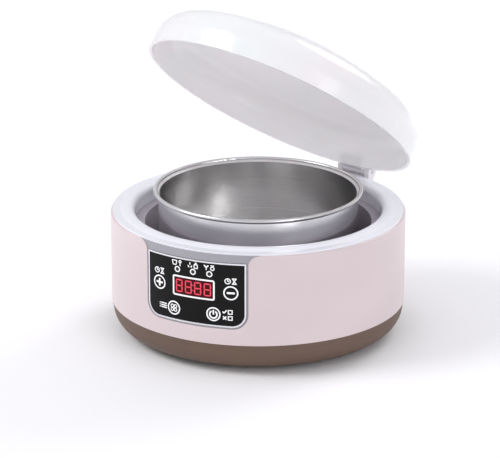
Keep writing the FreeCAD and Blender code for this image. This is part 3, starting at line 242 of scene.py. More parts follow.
def round_the_axis(finish):
    """The place as distance from the upright axis and height, for marks that run round."""
    nodes, links = finish.node_tree.nodes, finish.node_tree.links
    flat = where(finish, (1.0, 1.0, 0.0))
    radius = nodes.new("ShaderNodeVectorMath")
    radius.operation = "LENGTH"
    links.new(flat, radius.inputs[0])
    height = nodes.new("ShaderNodeSeparateXYZ")
    links.new(where(finish), height.inputs["Vector"])
    pair = nodes.new("ShaderNodeCombineXYZ")
    links.new(radius.outputs["Value"], pair.inputs["X"])
    links.new(height.outputs["Z"], pair.inputs["Z"])
    return pair.outputs["Vector"]


def cloudy(finish, place, scale, detail, distortion=0.0):
    """A soft noise pattern; scale is patches per metre."""
    noise = finish.node_tree.nodes.new("ShaderNodeTexNoise")
    noise.inputs["Scale"].default_value = scale
    noise.inputs["Detail"].default_value = detail
    noise.inputs["Distortion"].default_value = distortion
    finish.node_tree.links.new(place, noise.inputs["Vector"])
    return noise.outputs["Fac"]


def cells(finish, place, scale):
    """A pebbled pattern; scale is cells per metre."""
    pebbles = finish.node_tree.nodes.new("ShaderNodeTexVoronoi")
    pebbles.inputs["Scale"].default_value = scale
    finish.node_tree.links.new(place, pebbles.inputs["Vector"])
    return pebbles.outputs["Distance"]


def vary_colour(finish, pattern, colour, other, low=0.35, high=0.65):
    """Blends between two colours as the pattern goes from low to high."""
    ramp = finish.node_tree.nodes.new("ShaderNodeValToRGB")
    first, last = ramp.color_ramp.elements
    first.position, last.position = low, high
    first.color, last.color = (*colour, 1.0), (*other, 1.0)
    links = finish.node_tree.links
    links.new(pattern, ramp.inputs["Fac"])
    shader = finish.node_tree.nodes["Principled BSDF"]
    links.new(ramp.outputs["Color"], shader.inputs["Base Color"])


def vary_gloss(finish, pattern, smooth, rough):
    """Takes roughness from smooth to rough with the pattern."""
    ranged = finish.node_tree.nodes.new("ShaderNodeMapRange")
    ranged.inputs["From Min"].default_value = 0.3
    ranged.inputs["From Max"].default_value = 0.7
    ranged.inputs["To Min"].default_value = smooth
    ranged.inputs["To Max"].default_value = rough
    links = finish.node_tree.links
    links.new(pattern, ranged.inputs["Value"])
    shader = finish.node_tree.nodes["Principled BSDF"]
    links.new(ranged.outputs["Result"], shader.inputs["Roughness"])


def emboss(finish, pattern, depth, strength):
    """Raises the surface with the pattern; depth is in metres."""
    bump = finish.node_tree.nodes.new("ShaderNodeBump")
    bump.inputs["Strength"].default_value = strength
    bump.inputs["Distance"].default_value = depth
    links = finish.node_tree.links
    links.new(pattern, bump.inputs["Height"])
    links.new(bump.outputs["Normal"], finish.node_tree.nodes["Principled BSDF"].inputs["Normal"])


def shade(colour, share):
    """The same colour, lighter above 1 and darker below."""
    return tuple(min(1.0, channel * share) for channel in colour)


COOL_CAST, WARM_CAST = (0.94, 0.985, 0.975), (1.03, 0.985, 0.99)   # shares of red, green, blue


def cast_over(colour, cast):
    """The same colour with each channel taken by its own share."""
    return tuple(min(1.0, channel * share) for channel, share in zip(colour, cast))


def satin_moulding(name, colour):
    """Satin moulded plastic with a barely seen flow in its colour."""
    finish = new_finish(name, colour, 0.36, settings={"Specular IOR Level": 0.45,
                                                      "Coat Weight": 0.12, "Coat Roughness": 0.25})
    flow = cloudy(finish, where(finish, (1.0, 1.0, 2.5)), 9.0, 2.0)
    vary_colour(finish, flow, shade(colour, 0.975), shade(colour, 1.02))
    skin = cloudy(finish, where(finish), 2600.0, 2.0)
    vary_gloss(finish, skin, 0.33, 0.40)
    emboss(finish, skin, 0.012 * MM, 0.5)
    return finish


def grained_moulding(name, colour):
    """Matte plastic with the fine pebble of an etched mould."""
    finish = new_finish(name, colour, 0.55, settings={"Specular IOR Level": 0.4})
    pebble = cells(finish, where(finish), 1500.0)
    patches = cloudy(finish, where(finish), 30.0, 3.0)
    vary_colour(finish, patches, shade(colour, 0.94), shade(colour, 1.05))
    vary_gloss(finish, patches, 0.48, 0.60)
    emboss(finish, pebble, 0.03 * MM, 0.6)
    return finish


def gloss_moulding(name, colour):
    """Polished plastic with faint unevenness in its gloss."""
    finish = new_finish(name, colour, 0.16, settings={"Coat Weight": 0.35, "Coat Roughness": 0.06})
    flow = cloudy(finish, where(finish), 14.0, 3.0)
    vary_colour(finish, flow, shade(colour, 0.98), shade(colour, 1.01))
    vary_gloss(finish, flow, 0.13, 0.22)
    emboss(finish, cloudy(finish, where(finish), 40.0, 1.0), 0.01 * MM, 0.2)
    return finish


def milky_lid(name, colour):
    """Translucent pearly plastic: light soaks through it and its gloss shows soft streaks; a faint
    painted glow of its own colour brightens it, though it is no lamp.
    """
    finish = new_finish(name, colour, 0.2, settings={
        "IOR": 1.46, "Transmission Weight": 0.3, "Subsurface Weight": 0.3,
        "Subsurface Radius": (0.01, 0.008, 0.008), "Subsurface Scale": 0.6,
        # painted glow: the lid gives out a little light of its own colour, though it is no lamp
        "Emission Color": (*colour, 1.0), "Emission Strength": 0.08,
        "Coat Weight": 0.3, "Coat Roughness": 0.08})
    flow = cloudy(finish, where(finish, (1.0, 0.35, 1.0)), 7.0, 2.0, 0.6)
    vary_colour(finish, flow, cast_over(colour, COOL_CAST), cast_over(colour, WARM_CAST), 0.3, 0.7)
    vary_gloss(finish, flow, 0.12, 0.26)
    emboss(finish, cloudy(finish, where(finish), 45.0, 1.0), 0.05 * MM, 0.3)
    return finish


def turned_steel(name, colour):
    """Polished steel with the fine lines that turning leaves round the axis."""
    finish = new_finish(name, colour, 0.18, metallic=1.0, settings={"Anisotropic": 0.3})
    lines = cloudy(finish, round_the_axis(finish), 1800.0, 3.0)
    smears = cloudy(finish, where(finish), 26.0, 3.0, 0.4)
    vary_colour(finish, smears, shade(colour, 0.94), shade(colour, 1.04))
    vary_gloss(finish, lines, 0.18, 0.28)
    emboss(finish, lines, 0.004 * MM, 0.3)
    return finish


def anodised_pot(name, colour):
    """Lilac-grey anodised metal with faint turning lines and a dull sheen."""
    finish = new_finish(name, colour, 0.36, metallic=0.12)
    lines = cloudy(finish, round_the_axis(finish), 1100.0, 4.0)
    patches = cloudy(finish, where(finish), 18.0, 3.0)
    vary_colour(finish, patches, shade(colour, 0.9), shade(colour, 1.08))
    vary_gloss(finish, lines, 0.3, 0.42)
    emboss(finish, lines, 0.015 * MM, 0.5)
    return finish


def gloss_panel(name, colour):
    """Black acrylic with a hard clear face and a trace of handling."""
    finish = new_finish(name, colour, 0.09, settings={"Specular IOR Level": 0.16,
                                                      "Coat Weight": 0.04, "Coat Roughness": 0.03})
    smears = cloudy(finish, where(finish, (1.0, 1.0, 0.6)), 90.0, 4.0, 0.8)
    vary_colour(finish, smears, shade(colour, 0.9), shade(colour, 1.25))
    vary_gloss(finish, smears, 0.06, 0.14)
    return finish


def bright_trim(name, colour):
    """Bright plated metal with hair-fine lines along it."""
    finish = new_finish(name, colour, 0.2, metallic=1.0)
    hairs = cloudy(finish, where(finish, (0.2, 0.2, 1.0)), 2400.0, 3.0)
    vary_colour(finish, hairs, shade(colour, 0.94), shade(colour, 1.04))
    vary_gloss(finish, hairs, 0.16, 0.3)
    return finish


def red_window(name, colour):
    """Dark red tinted acrylic with a faint painted glow over the whole window, though only the
    digits are lit.
    """
    # painted glow: the whole window gives out a little red light, though it is no lamp
    finish = new_finish(name, colour, 0.1, settings={
        "Specular IOR Level": 0.15, "Emission Color": (*colour, 1.0), "Emission Strength": 0.15})
    glow = cloudy(finish, where(finish), 260.0, 2.0)
    vary_colour(finish, glow, shade(colour, 0.85), shade(colour, 1.1))
    vary_gloss(finish, glow, 0.07, 0.13)
    return finish


def lit_digits(name, colour):
    """The digits' red light, a little stronger in places, as behind a diffusing film."""
    finish = new_finish(name, colour, 0.35, settings={
        "Emission Color": (*colour, 1.0), "Emission Strength": 0.35})
    film = cloudy(finish, where(finish), 700.0, 2.0)
    vary_colour(finish, film, shade(colour, 0.85), shade(colour, 1.15))
    vary_gloss(finish, film, 0.3, 0.4)
    return finish


def printed_ink(name, colour):
    """White screen-printing ink with its slightly uneven edge of gloss, and a faint painted glow
    that brightens it.
    """
    # painted glow: the ink gives out a little white light, though it is no lamp
    finish = new_finish(name, colour, 0.4, settings={
        "Emission Color": (*colour, 1.0), "Emission Strength": 0.12})
    film = cloudy(finish, where(finish), 1800.0, 2.0)
    vary_colour(finish, film, shade(colour, 0.94), colour)
    vary_gloss(finish, film, 0.34, 0.48)
    return finish


def soft_rubber(name, colour):
    """Matte rubber with a dusty skin."""
    finish = new_finish(name, colour, 0.8, settings={"Specular IOR Level": 0.25,
                                                     "Sheen Weight": 0.2})
    dust = cloudy(finish, where(finish), 400.0, 5.0)
    vary_colour(finish, dust, colour, shade(colour, 1.35))
    vary_gloss(finish, dust, 0.7, 0.9)
    emboss(finish, dust, 0.02 * MM, 0.6)
    return finish


def plated_metal(name, colour, roughness=0.3):
    """Plated or plain metal with a fine tumbled surface."""
    finish = new_finish(name, colour, roughness, metallic=1.0)
    tumble = cloudy(finish, where(finish), 900.0, 4.0)
    vary_colour(finish, tumble, shade(colour, 0.9), shade(colour, 1.05))
    vary_gloss(finish, tumble, roughness * 0.8, roughness * 1.3)
    emboss(finish, tumble, 0.01 * MM, 0.5)
    return finish


def small_moulding(name, colour, roughness=0.45):
    """Plain moulded plastic of an electrical part."""
    finish = new_finish(name, colour, roughness)
    grain = cloudy(finish, where(finish), 1200.0, 3.0)
    vary_colour(finish, grain, shade(colour, 0.9), shade(colour, 1.1))
    vary_gloss(finish, grain, roughness * 0.85, roughness * 1.15)
    emboss(finish, grain, 0.01 * MM, 0.5)
    return finish


def circuit_board(name, colour):
    """Solder mask with the tracks showing faintly through it."""
    finish = new_finish(name, colour, 0.3, settings={"Coat Weight": 0.3, "Coat Roughness": 0.15})
    tracks = finish.node_tree.nodes.new("ShaderNodeTexBrick")
    tracks.inputs["Scale"].default_value = 160.0
    tracks.inputs["Color1"].default_value = (*shade(colour, 0.8), 1.0)
    tracks.inputs["Color2"].default_value = (*colour, 1.0)
    tracks.inputs["Mortar"].default_value = (*shade(colour, 1.6), 1.0)
    links = finish.node_tree.links
    links.new(where(finish), tracks.inputs["Vector"])
    shader = finish.node_tree.nodes["Principled BSDF"]
    links.new(tracks.outputs["Color"], shader.inputs["Base Color"])
    emboss(finish, cloudy(finish, where(finish), 700.0, 3.0), 0.01 * MM, 0.5)
    return finish


def mica_sheet(name, colour):
    """Layered mica with pale flakes."""
    finish = new_finish(name, colour, 0.5)
    flakes = cells(finish, where(finish, (1.0, 1.0, 0.4)), 350.0)
    vary_colour(finish, flakes, shade(colour, 0.75), shade(colour, 1.3), 0.1, 0.8)
    vary_gloss(finish, flakes, 0.35, 0.6)
    return finish


# ---------------------------------------------------------------- shapes for the printing

PRINT_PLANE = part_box("panel_trim")[0].y - 5 * MM   # prints are drawn here, in front of the panel
FACING_FRONT = (math.radians(90), 0.0, 0.0)
FORMER_CORNERS = 1440    # of the round former that prints are laid on
FORMER_HEIGHT = 0.3      # metres, well past the top and bottom of any print
FACE_BAND = 0.05 * MM    # corners this near a key's radius belong to its front face


def flat_disc(x, z, radius, corners):
    """A round patch of ink."""
    start_clean()
    bpy.ops.mesh.primitive_circle_add(vertices=corners, radius=radius, fill_type="NGON",
                                      location=(x, PRINT_PLANE, z), rotation=FACING_FRONT)
    return set_down(bpy.context.object)


def flat_ring(x, z, radius, line, corners=48):
    """A printed ring: a disc whose middle is inset and taken out."""
    ring = flat_disc(x, z, radius, corners)
    bpy.ops.object.mode_set(mode="EDIT")
    bpy.ops.mesh.select_all(action="SELECT")
    bpy.ops.mesh.inset(thickness=line)
    bpy.ops.mesh.delete(type="FACE")
    bpy.ops.object.mode_set(mode="OBJECT")
    return ring


def open_ring(x, z, radius, line, gap):
    """A printed ring with a gap of that half-angle at its top."""
    ring = flat_ring(x, z, radius, line)
    for face in ring.data.polygons:
        away = math.atan2(abs(face.center.x - x), face.center.z - z)
        face.select = away < gap
    bpy.ops.object.mode_set(mode="EDIT")
    bpy.ops.mesh.select_mode(type="FACE")
    bpy.ops.mesh.delete(type="FACE")
    bpy.ops.object.mode_set(mode="OBJECT")
    return ring


def flat_bar(x, z, across, up, lean=0.0, rounding=0.3):
    """A printed bar leaned clockwise by an angle, its corners rounded by a share of its width."""
    start_clean()
    bpy.ops.mesh.primitive_plane_add(size=1.0, location=(x, PRINT_PLANE, z), rotation=FACING_FRONT)
    bar = bpy.context.object
    bar.scale = (across, up, 1.0)
    bar.rotation_euler.y = lean
    set_down(bar)
    bpy.ops.object.mode_set(mode="EDIT")
    bpy.ops.mesh.select_all(action="SELECT")
    bpy.ops.mesh.bevel(offset=min(across, up) * rounding, segments=3, affect="VERTICES")
    bpy.ops.object.mode_set(mode="OBJECT")
    return bar


def digit_segment(x, z, reach, line, upright):
    """One bar of a digit, with its pointed ends: a six-sided disc pulled out along its length."""
    segment = flat_disc(x, z, line / 2, 6)
    if upright:
        bpy.ops.object.mode_set(mode="EDIT")
        bpy.ops.mesh.select_all(action="SELECT")
        bpy.ops.transform.rotate(value=math.radians(90), orient_axis="Y",
                                 center_override=(x, PRINT_PLANE, z))
        bpy.ops.object.mode_set(mode="OBJECT")
    along = 2 if upright else 0
    centre = (x, PRINT_PLANE, z)[along]
    past_centre = line * 0.1
    for end in (1, -1):
        bpy.ops.object.mode_set(mode="EDIT")
        bpy.ops.mesh.select_mode(type="VERT")
        bpy.ops.mesh.select_all(action="DESELECT")
        bpy.ops.object.mode_set(mode="OBJECT")
        for corner in segment.data.vertices:
            corner.select = (corner.co[along] - centre) * end > past_centre
        bpy.ops.object.mode_set(mode="EDIT")
        step = (reach - line) / 2 * end
        bpy.ops.transform.translate(value=(0, 0, step) if upright else (step, 0, 0))
        bpy.ops.object.mode_set(mode="OBJECT")
    return segment


def face_radius(node):
    """The radius of a CAD node's round front face, about the upright axis."""
    corners = frame["nodes"][node].data.vertices
    return max(math.hypot(corner.co.x, corner.co.y) for corner in corners)


def cap_radius(key):
    """The radius of the part of a key that shows, from the corners of its front face."""
    face = face_radius(key)
    heights = [corner.co.z for corner in frame["nodes"][key].data.vertices
               if math.hypot(corner.co.x, corner.co.y) > face - FACE_BAND]
    return (max(heights) - min(heights)) / 2


def lay_on(piece, ground, lift, ink):
    """Lays a flat print on the round front face of a CAD node and gives the ink its thickness."""
    start_clean()
    bpy.ops.mesh.primitive_cylinder_add(vertices=FORMER_CORNERS, depth=FORMER_HEIGHT,
                                        radius=face_radius(ground) + lift)
    former = bpy.context.object
    pick(piece)
    wrap = piece.modifiers.new("lay on the face", "SHRINKWRAP")
    wrap.target = former
    wrap.wrap_method = "PROJECT"
    wrap.use_project_y = True
    wrap.use_positive_direction = True
    wrap.use_negative_direction = False
    bpy.ops.object.modifier_apply(modifier=wrap.name)
    layer = piece.modifiers.new("ink", "SOLIDIFY")
    layer.thickness = ink
    layer.offset = -1.0
    bpy.ops.object.modifier_apply(modifier=layer.name)
    pick(former)
    bpy.ops.object.delete()
    if min(corner.co.y for corner in piece.data.vertices) < PRINT_PLANE + MM:
        raise RuntimeError(piece.name + " isn't wholly in front of " + ground)


# ---------------------------------------------------------------- operators: the finishes


class YogurtMakerHousing(bpy.types.Operator):
    """Finishes the housing: the shell, the base, the top ring, the pot, the feet and the hinge"""

    bl_idname = "yogurt_maker.housing"
    bl_label = "Finish the Housing"

    def execute(self, context):
        colours = context.scene.yogurt_maker_colours
        dress_slot("shell_pink", satin_moulding("satin_pink_shell", tuple(colours.shell)))
        dress_slot("base_brown", grained_moulding("grained_brown_base", tuple(colours.base)))
        dress_slot("ring_white", gloss_moulding("gloss_white_ring", tuple(colours.ring)))
        dress_slot("hinge_white", satin_moulding("satin_white_hinge", paint(232, 230, 234)))
        dress_slot("foot_rubber", soft_rubber("dusty_foot_rubber", paint(52, 50, 50)))
        dress_slot("seal_silicone", soft_rubber("white_silicone", paint(224, 224, 220)))
        dress_slot("pot_dark", anodised_pot("anodised_pot", tuple(colours.pot)))
        return {"FINISHED"}


class YogurtMakerBowl(bpy.types.Operator):
    """Finishes the loose steel bowl"""

    bl_idname = "yogurt_maker.bowl"
    bl_label = "Finish the Bowl"

    def execute(self, context):
        colours = context.scene.yogurt_maker_colours
        dress_slot("bowl_steel", turned_steel("turned_bowl_steel", tuple(colours.steel)))
        return {"FINISHED"}


class YogurtMakerLid(bpy.types.Operator):
    """Finishes the translucent lid"""

    bl_idname = "yogurt_maker.lid"
    bl_label = "Finish the Lid"

    def execute(self, context):
        colours = context.scene.yogurt_maker_colours
        dress_slot("lid_milky", milky_lid("milky_lid", tuple(colours.lid)))
        return {"FINISHED"}


class YogurtMakerPanelFinish(bpy.types.Operator):
    """Finishes the panel, its trim and carrier, the keys, the window and the indicator lenses"""

    bl_idname = "yogurt_maker.panel_finish"
    bl_label = "Finish the Panel"

    def execute(self, context):
        colours = context.scene.yogurt_maker_colours
        dress_slot("panel_black", gloss_panel("gloss_black_panel", tuple(colours.panel)))
        dress_slot("key_black", gloss_panel("gloss_black_keys", shade(tuple(colours.panel), 1.2)))
        dress_slot("trim_silver", bright_trim("bright_silver_trim", paint(232, 232, 236)))
        # the carrier's grey is partly painted shade, standing for the shadow band between the top
        # ring and the panel
        dress("panel_carrier", satin_moulding("grey_carrier_and_painted_shade", tuple(colours.carrier)))
        dress_slot("window_red", red_window("dark_red_window", tuple(colours.window)))
        dress_slot("indicator_clear",
                   small_moulding("smoked_indicator_lens", paint(26, 26, 30), 0.2))
        return {"FINISHED"}


class YogurtMakerInside(bpy.types.Operator):
    """Finishes the parts inside: the heater, the sensor, the boards and the wiring"""

    bl_idname = "yogurt_maker.inside"
    bl_label = "Finish the Inside"

    def execute(self, context):
        dress_slot("plain_steel", plated_metal("zinc_plated_steel", paint(198, 198, 202), 0.32))
        dress_slot("heater_mica", mica_sheet("mica_heater", paint(196, 182, 150)))
        dress_slot("sensor_metal", plated_metal("plain_aluminium", paint(214, 214, 216), 0.38))
        dress_slot("board_green", circuit_board("green_board", paint(34, 128, 84)))
        dress_slot("part_black", small_moulding("black_part", paint(36, 36, 38)))
        dress_slot("part_blue", small_moulding("blue_part", paint(48, 104, 178)))
        dress_slot("part_yellow", small_moulding("yellow_tape", paint(224, 202, 96), 0.35))
        dress_slot("part_white", small_moulding("white_part", paint(232, 232, 228), 0.5))
        dress_slot("wire_white", small_moulding("white_wire", paint(230, 230, 226), 0.4))
        dress_slot("wire_grey", small_moulding("grey_wire", paint(150, 150, 152), 0.4))
        dress_slot("pin_brass", plated_metal("brass_pin", paint(222, 190, 120), 0.25))
        return {"FINISHED"}


# ---------------------------------------------------------------- operators: display and printing


def digit(x, z, sizes):
    """The seven bars of one digit, all lit."""
    across, up, line = sizes.digit_width, sizes.digit_height, sizes.segment_width
    side, half = (across - line) / 2, (up - line) / 2
    # each bar's points reach a little past the middle line of the bars that it meets
    flat_reach, tall_reach = across - line * 0.85, half + line * 0.15
    bars = [digit_segment(x, z + level * half, flat_reach, line, False) for level in (1, 0, -1)]
    for left_or_right in (-1, 1):
        for level in (0.5, -0.5):
            bars.append(digit_segment(x + left_or_right * side, z + level * half, tall_reach,
                                      line, True))
    return bars


class YogurtMakerDigits(bpy.types.Operator):
    """Makes the four lit digits and the colon of the display"""

    bl_idname = "yogurt_maker.digits"
    bl_label = "Make the Digits"

    def execute(self, context):
        sizes, colours = context.scene.yogurt_maker_sizes, context.scene.yogurt_maker_colours
        centre = middle("display_window")
        bars = []
        for place in (-1.5, -0.5, 0.5, 1.5):
            bars += digit(centre.x + place * sizes.digit_pitch, centre.z, sizes)
        dot_radius = sizes.segment_width * 0.36
        for side in (-1, 1):
            height = centre.z + side * sizes.digit_height * 0.19
            bars.append(flat_disc(centre.x, height, dot_radius, 16))
        digits = join("display_digits", bars)
        lay_on(digits, "display_window", sizes.lift, sizes.ink)
        light = lit_digits("red_digit_light", tuple(colours.digits))
        place_piece(digits, light, "housing")
        return {"FINISHED"}


class YogurtMakerDisplayFrame(bpy.types.Operator):
    """Makes the white line printed round the display"""

    bl_idname = "yogurt_maker.display_frame"
    bl_label = "Print the Display Frame"

    def execute(self, context):
        sizes = context.scene.yogurt_maker_sizes
        centre, size, line = middle("display_window"), extent("display_window"), sizes.frame_line
        beyond = line * 2.4
        across, up = size.x + beyond, size.z + beyond
        start_clean()
        bpy.ops.mesh.primitive_plane_add(size=1.0, location=(centre.x, PRINT_PLANE, centre.z),
                                         rotation=FACING_FRONT)
        outline = bpy.context.object
        outline.scale = (across, up, 1.0)
        set_down(outline)
        bpy.ops.object.mode_set(mode="EDIT")
        bpy.ops.mesh.select_all(action="SELECT")
        bpy.ops.mesh.bevel(offset=line * 1.3, segments=4, affect="VERTICES")
        bpy.ops.mesh.select_all(action="SELECT")
        bpy.ops.mesh.inset(thickness=line)
        bpy.ops.mesh.delete(type="FACE")
        bpy.ops.object.mode_set(mode="OBJECT")
        slice_across(outline, across, 24)
        outline = join("display_frame_print", [outline])
        lay_on(outline, "panel_lens", sizes.lift, sizes.ink)
        place_piece(outline, white_print(context), "housing")
        return {"FINISHED"}


def slice_across(piece, across, slices):
    """Cuts a flat print into upright strips, so that it can follow the curve of the panel."""
    low = min(corner.co.x for corner in piece.data.vertices)
    pick(piece)
    bpy.ops.object.mode_set(mode="EDIT")
    for cut in range(1, slices):
        bpy.ops.mesh.select_all(action="SELECT")
        bpy.ops.mesh.bisect(plane_co=(low + across * cut / slices, 0, 0), plane_no=(1, 0, 0))
    bpy.ops.object.mode_set(mode="OBJECT")


def white_print(context):
    """The one white ink, made once."""
    made = bpy.data.materials.get("white_ink")
    return made or printed_ink("white_ink", tuple(context.scene.yogurt_maker_colours.print_white))


SIGN_REACH = 5.2 * MM   # how long the bars of plus and minus are


def plus_sign(x, z, sizes):
    """A plus: a level bar and an upright one."""
    return [flat_bar(x, z, SIGN_REACH, sizes.symbol_line, rounding=0.2),
            flat_bar(x, z, sizes.symbol_line, SIGN_REACH, rounding=0.2)]


def minus_sign(x, z, sizes):
    """A minus: one level bar."""
    return [flat_bar(x, z, SIGN_REACH, sizes.symbol_line, rounding=0.2)]


def clover_sign(x, z, sizes):
    """Four small rings, as the leaves of a clover."""
    step, leaf = 1.2 * MM, 1.35 * MM
    return [flat_ring(x + side * step, z + level * step, leaf, sizes.mark_line * 1.2, 24)
            for side in (-1, 1) for level in (-1, 1)]


def power_sign(x, z, sizes):
    """The common sign for power: a ring that is open at its top, with a bar in the gap."""
    line, radius, gap, bar = sizes.symbol_line * 0.8, 3.0 * MM, math.radians(30), 3.4 * MM
    return [open_ring(x, z - 0.2 * MM, radius, line, gap),
            flat_bar(x, z + 1.4 * MM, line, bar)]


KEY_SIGNS = (("key_time_up", plus_sign), ("key_time_down", minus_sign),
             ("key_function", clover_sign), ("key_power", power_sign))


class YogurtMakerKeySigns(bpy.types.Operator):
    """Prints a ring and a sign on each of the four keys"""

    bl_idname = "yogurt_maker.key_signs"
    bl_label = "Print the Key Signs"

    def execute(self, context):
        sizes = context.scene.yogurt_maker_sizes
        for key, sign in KEY_SIGNS:
            centre = middle(key)
            parts = sign(centre.x, centre.z, sizes)
            radius = cap_radius(key) - 0.15 * MM
            parts.append(flat_ring(centre.x, centre.z, radius, sizes.ring_line, 64))
            printed = join(key + "_sign", parts)
            lay_on(printed, key, sizes.lift, sizes.ink)
            place_piece(printed, white_print(context), key)
        return {"FINISHED"}


def indicators():
    """The lowest corner, the highest corner, the radius and the three middles of the lenses."""
    low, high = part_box("indicator_lenses")
    radius = (high.z - low.z) / 2
    return low, high, radius, (low.x + radius, (low.x + high.x) / 2, high.x - radius)


class YogurtMakerIndicatorRings(bpy.types.Operator):
    """Prints a white ring round each of the three indicator lenses"""

    bl_idname = "yogurt_maker.indicator_rings"
    bl_label = "Print the Indicator Rings"

    def execute(self, context):
        sizes = context.scene.yogurt_maker_sizes
        low, high, radius, columns = indicators()
        outside, line = radius + 0.7 * MM, 0.75 * MM
        rings = [flat_ring(x, (low.z + high.z) / 2, outside, line) for x in columns]
        rings = join("indicator_ring_prints", rings)
        lay_on(rings, "panel_lens", sizes.lift, sizes.ink)
        place_piece(rings, white_print(context), "housing")
        return {"FINISHED"}


def clock_mark(x, z, line):
    """A clock face with two hands."""
    return [flat_ring(x, z, 1.6 * MM, line, 24),
            flat_bar(x, z + 0.45 * MM, line, 1.1 * MM),
            flat_bar(x + 0.35 * MM, z, 0.9 * MM, line)]


def hourglass_mark(x, z, line):
    """An hourglass: two level bars and two crossed ones."""
    end, across, slope, lean = 1.4 * MM, 2.4 * MM, 3.2 * MM, math.radians(32)
    return [flat_bar(x, z + end, across, line), flat_bar(x, z - end, across, line),
            flat_bar(x, z, line, slope, lean), flat_bar(x, z, line, slope, -lean)]


def cup_mark(x, z, line):
    """A cup with a saucer."""
    edge, tall, lean = 1.1 * MM, 2.4 * MM, math.radians(12)
    return [flat_bar(x - edge, z, line, tall, -lean), flat_bar(x + edge, z, line, tall, lean),
            flat_bar(x, z - edge, 1.9 * MM, line), flat_bar(x, z + edge, 3.0 * MM, line)]


def spoon_mark(x, z, line):
    """A spoon."""
    return [flat_ring(x, z + 0.8 * MM, 0.85 * MM, line, 20),
            flat_bar(x, z - 0.75 * MM, line, 1.7 * MM)]


def bottle_mark(x, z, line):
    """A bottle with a neck."""
    side, low, tall, across = 0.9 * MM, 0.4 * MM, 1.9 * MM, 2.2 * MM
    return [flat_bar(x - side, z - low, line, tall), flat_bar(x + side, z - low, line, tall),
            flat_bar(x, z - 1.3 * MM, across, line), flat_bar(x, z + 0.55 * MM, across, line),
            flat_bar(x, z + 1.15 * MM, 1.0 * MM, 1.2 * MM)]


def grain_mark(x, z, line):
    """Three grains."""
    apart, low, across, tall, lean = 0.8 * MM, 0.7 * MM, 0.6 * MM, 1.3 * MM, math.radians(30)
    return [flat_bar(x, z + apart, across, tall, rounding=0.45),
            flat_bar(x - apart, z - low, across, tall, -lean, 0.45),
            flat_bar(x + apart, z - low, across, tall, lean, 0.45)]


def jar_mark(x, z, line):
    """A round jar with a lid."""
    return [flat_ring(x, z - 0.4 * MM, 1.15 * MM, line, 24),
            flat_bar(x, z + 1.1 * MM, 1.9 * MM, line)]


def leaf_mark(x, z, line):
    """A small sprout."""
    side, high, across, tall, lean = 0.65 * MM, 0.6 * MM, 0.7 * MM, 1.6 * MM, math.radians(45)
    return [flat_bar(x, z - high, line, 1.7 * MM),
            flat_bar(x - side, z + high, across, tall, -lean, 0.45),
            flat_bar(x + side, z + high, across, tall, lean, 0.45)]


def list_mark(x, z, line):
    """Three lines of a list, each with its dot."""
    marks = []
    for level in (-1, 0, 1):
        height = z + level * 1.1 * MM
        marks.append(flat_disc(x - 1.9 * MM, height, line * 0.62, 12))
        marks.append(flat_bar(x + 0.55 * MM, height, 3.6 * MM, line * 1.2))
    return marks


def tick_mark(x, z, line):
    """A tick."""
    return [flat_bar(x - 0.7 * MM, z - 0.25 * MM, line * 1.2, 1.2 * MM, math.radians(-45)),
            flat_bar(x + 0.35 * MM, z + 0.15 * MM, line * 1.2, 2.2 * MM, math.radians(40))]


def cross_mark(x, z, line):
    """A cross."""
    return [flat_bar(x, z, line * 1.2, 2.4 * MM, math.radians(45)),
            flat_bar(x, z, line * 1.2, 2.4 * MM, math.radians(-45))]


def square_mark(x, z, line):
    """A hollow square."""
    reach = 1.9 * MM
    upright = [flat_bar(x + side * reach / 2, z, line, reach + line, rounding=0.2)
               for side in (-1, 1)]
    level = [flat_bar(x, z + side * reach / 2, reach, line, rounding=0.2) for side in (-1, 1)]
    return upright + level


def enlarge(pieces, x, z, times):
    """Scales the pieces of one sign about the sign's middle."""
    for piece in pieces:
        pick(piece)
        bpy.ops.object.mode_set(mode="EDIT")
        bpy.ops.mesh.select_all(action="SELECT")
        bpy.ops.transform.resize(value=(times, 1.0, times), center_override=(x, PRINT_PLANE, z))
        bpy.ops.object.mode_set(mode="OBJECT")
    return pieces


class YogurtMakerPictograms(bpy.types.Operator):
    """Prints the small pictograms beside the keys and above the indicators"""

    bl_idname = "yogurt_maker.pictograms"
    bl_label = "Print the Pictograms"

    def execute(self, context):
        sizes = context.scene.yogurt_maker_sizes
        half_pair = 2.1 * MM        # from the middle of two neighbouring marks to each of them
        above_lenses, above_keys = 3.0 * MM, 8.0 * MM
        list_left, choice_right, square_right = 8.9 * MM, 7.4 * MM, 11.0 * MM
        marks = []

        def stamp(sign, x, z):
            marks.extend(enlarge(sign(x, z, sizes.mark_line), x, z, sizes.mark_size))

        _, high, _, columns = indicators()
        pairs = ((cup_mark, spoon_mark), (grain_mark, bottle_mark), (leaf_mark, jar_mark))
        for x, (first, second) in zip(columns, pairs):
            stamp(first, x - half_pair, high.z + above_lenses)
            stamp(second, x + half_pair, high.z + above_lenses)
        for key in ("key_time_up", "key_time_down"):
            place = middle(key)
            stamp(clock_mark, place.x - half_pair, place.z + above_keys)
            stamp(hourglass_mark, place.x + half_pair, place.z + above_keys)
        function, power = middle("key_function"), middle("key_power")
        stamp(list_mark, function.x - list_left, function.z)
        for level, choice_mark in ((1, tick_mark), (-1, cross_mark)):
            stamp(choice_mark, power.x + choice_right, power.z + level * half_pair)
            stamp(square_mark, power.x + square_right, power.z + level * half_pair)
        marks = join("panel_pictograms", marks)
        lay_on(marks, "panel_lens", sizes.lift, sizes.ink)
        place_piece(marks, white_print(context), "housing")
        return {"FINISHED"}


# ---------------------------------------------------------------- operator: the studio

FLOOR_SIZE = 30.0
SURROUNDINGS, SURROUNDINGS_STRENGTH = (0.96, 0.97, 1.0, 1.0), 0.72
LIT_POINT = (0.0, 0.0, 0.08)
SOFT_BOXES = (   # name, place, diameter in metres, power in watts
    ("key_light", (-1.3, -0.9, 1.5), 1.1, 21),
    ("fill_light", (1.6, -1.0, 0.6), 1.0, 7),
    ("back_light", (0.5, 1.5, 1.3), 1.0, 12),
)


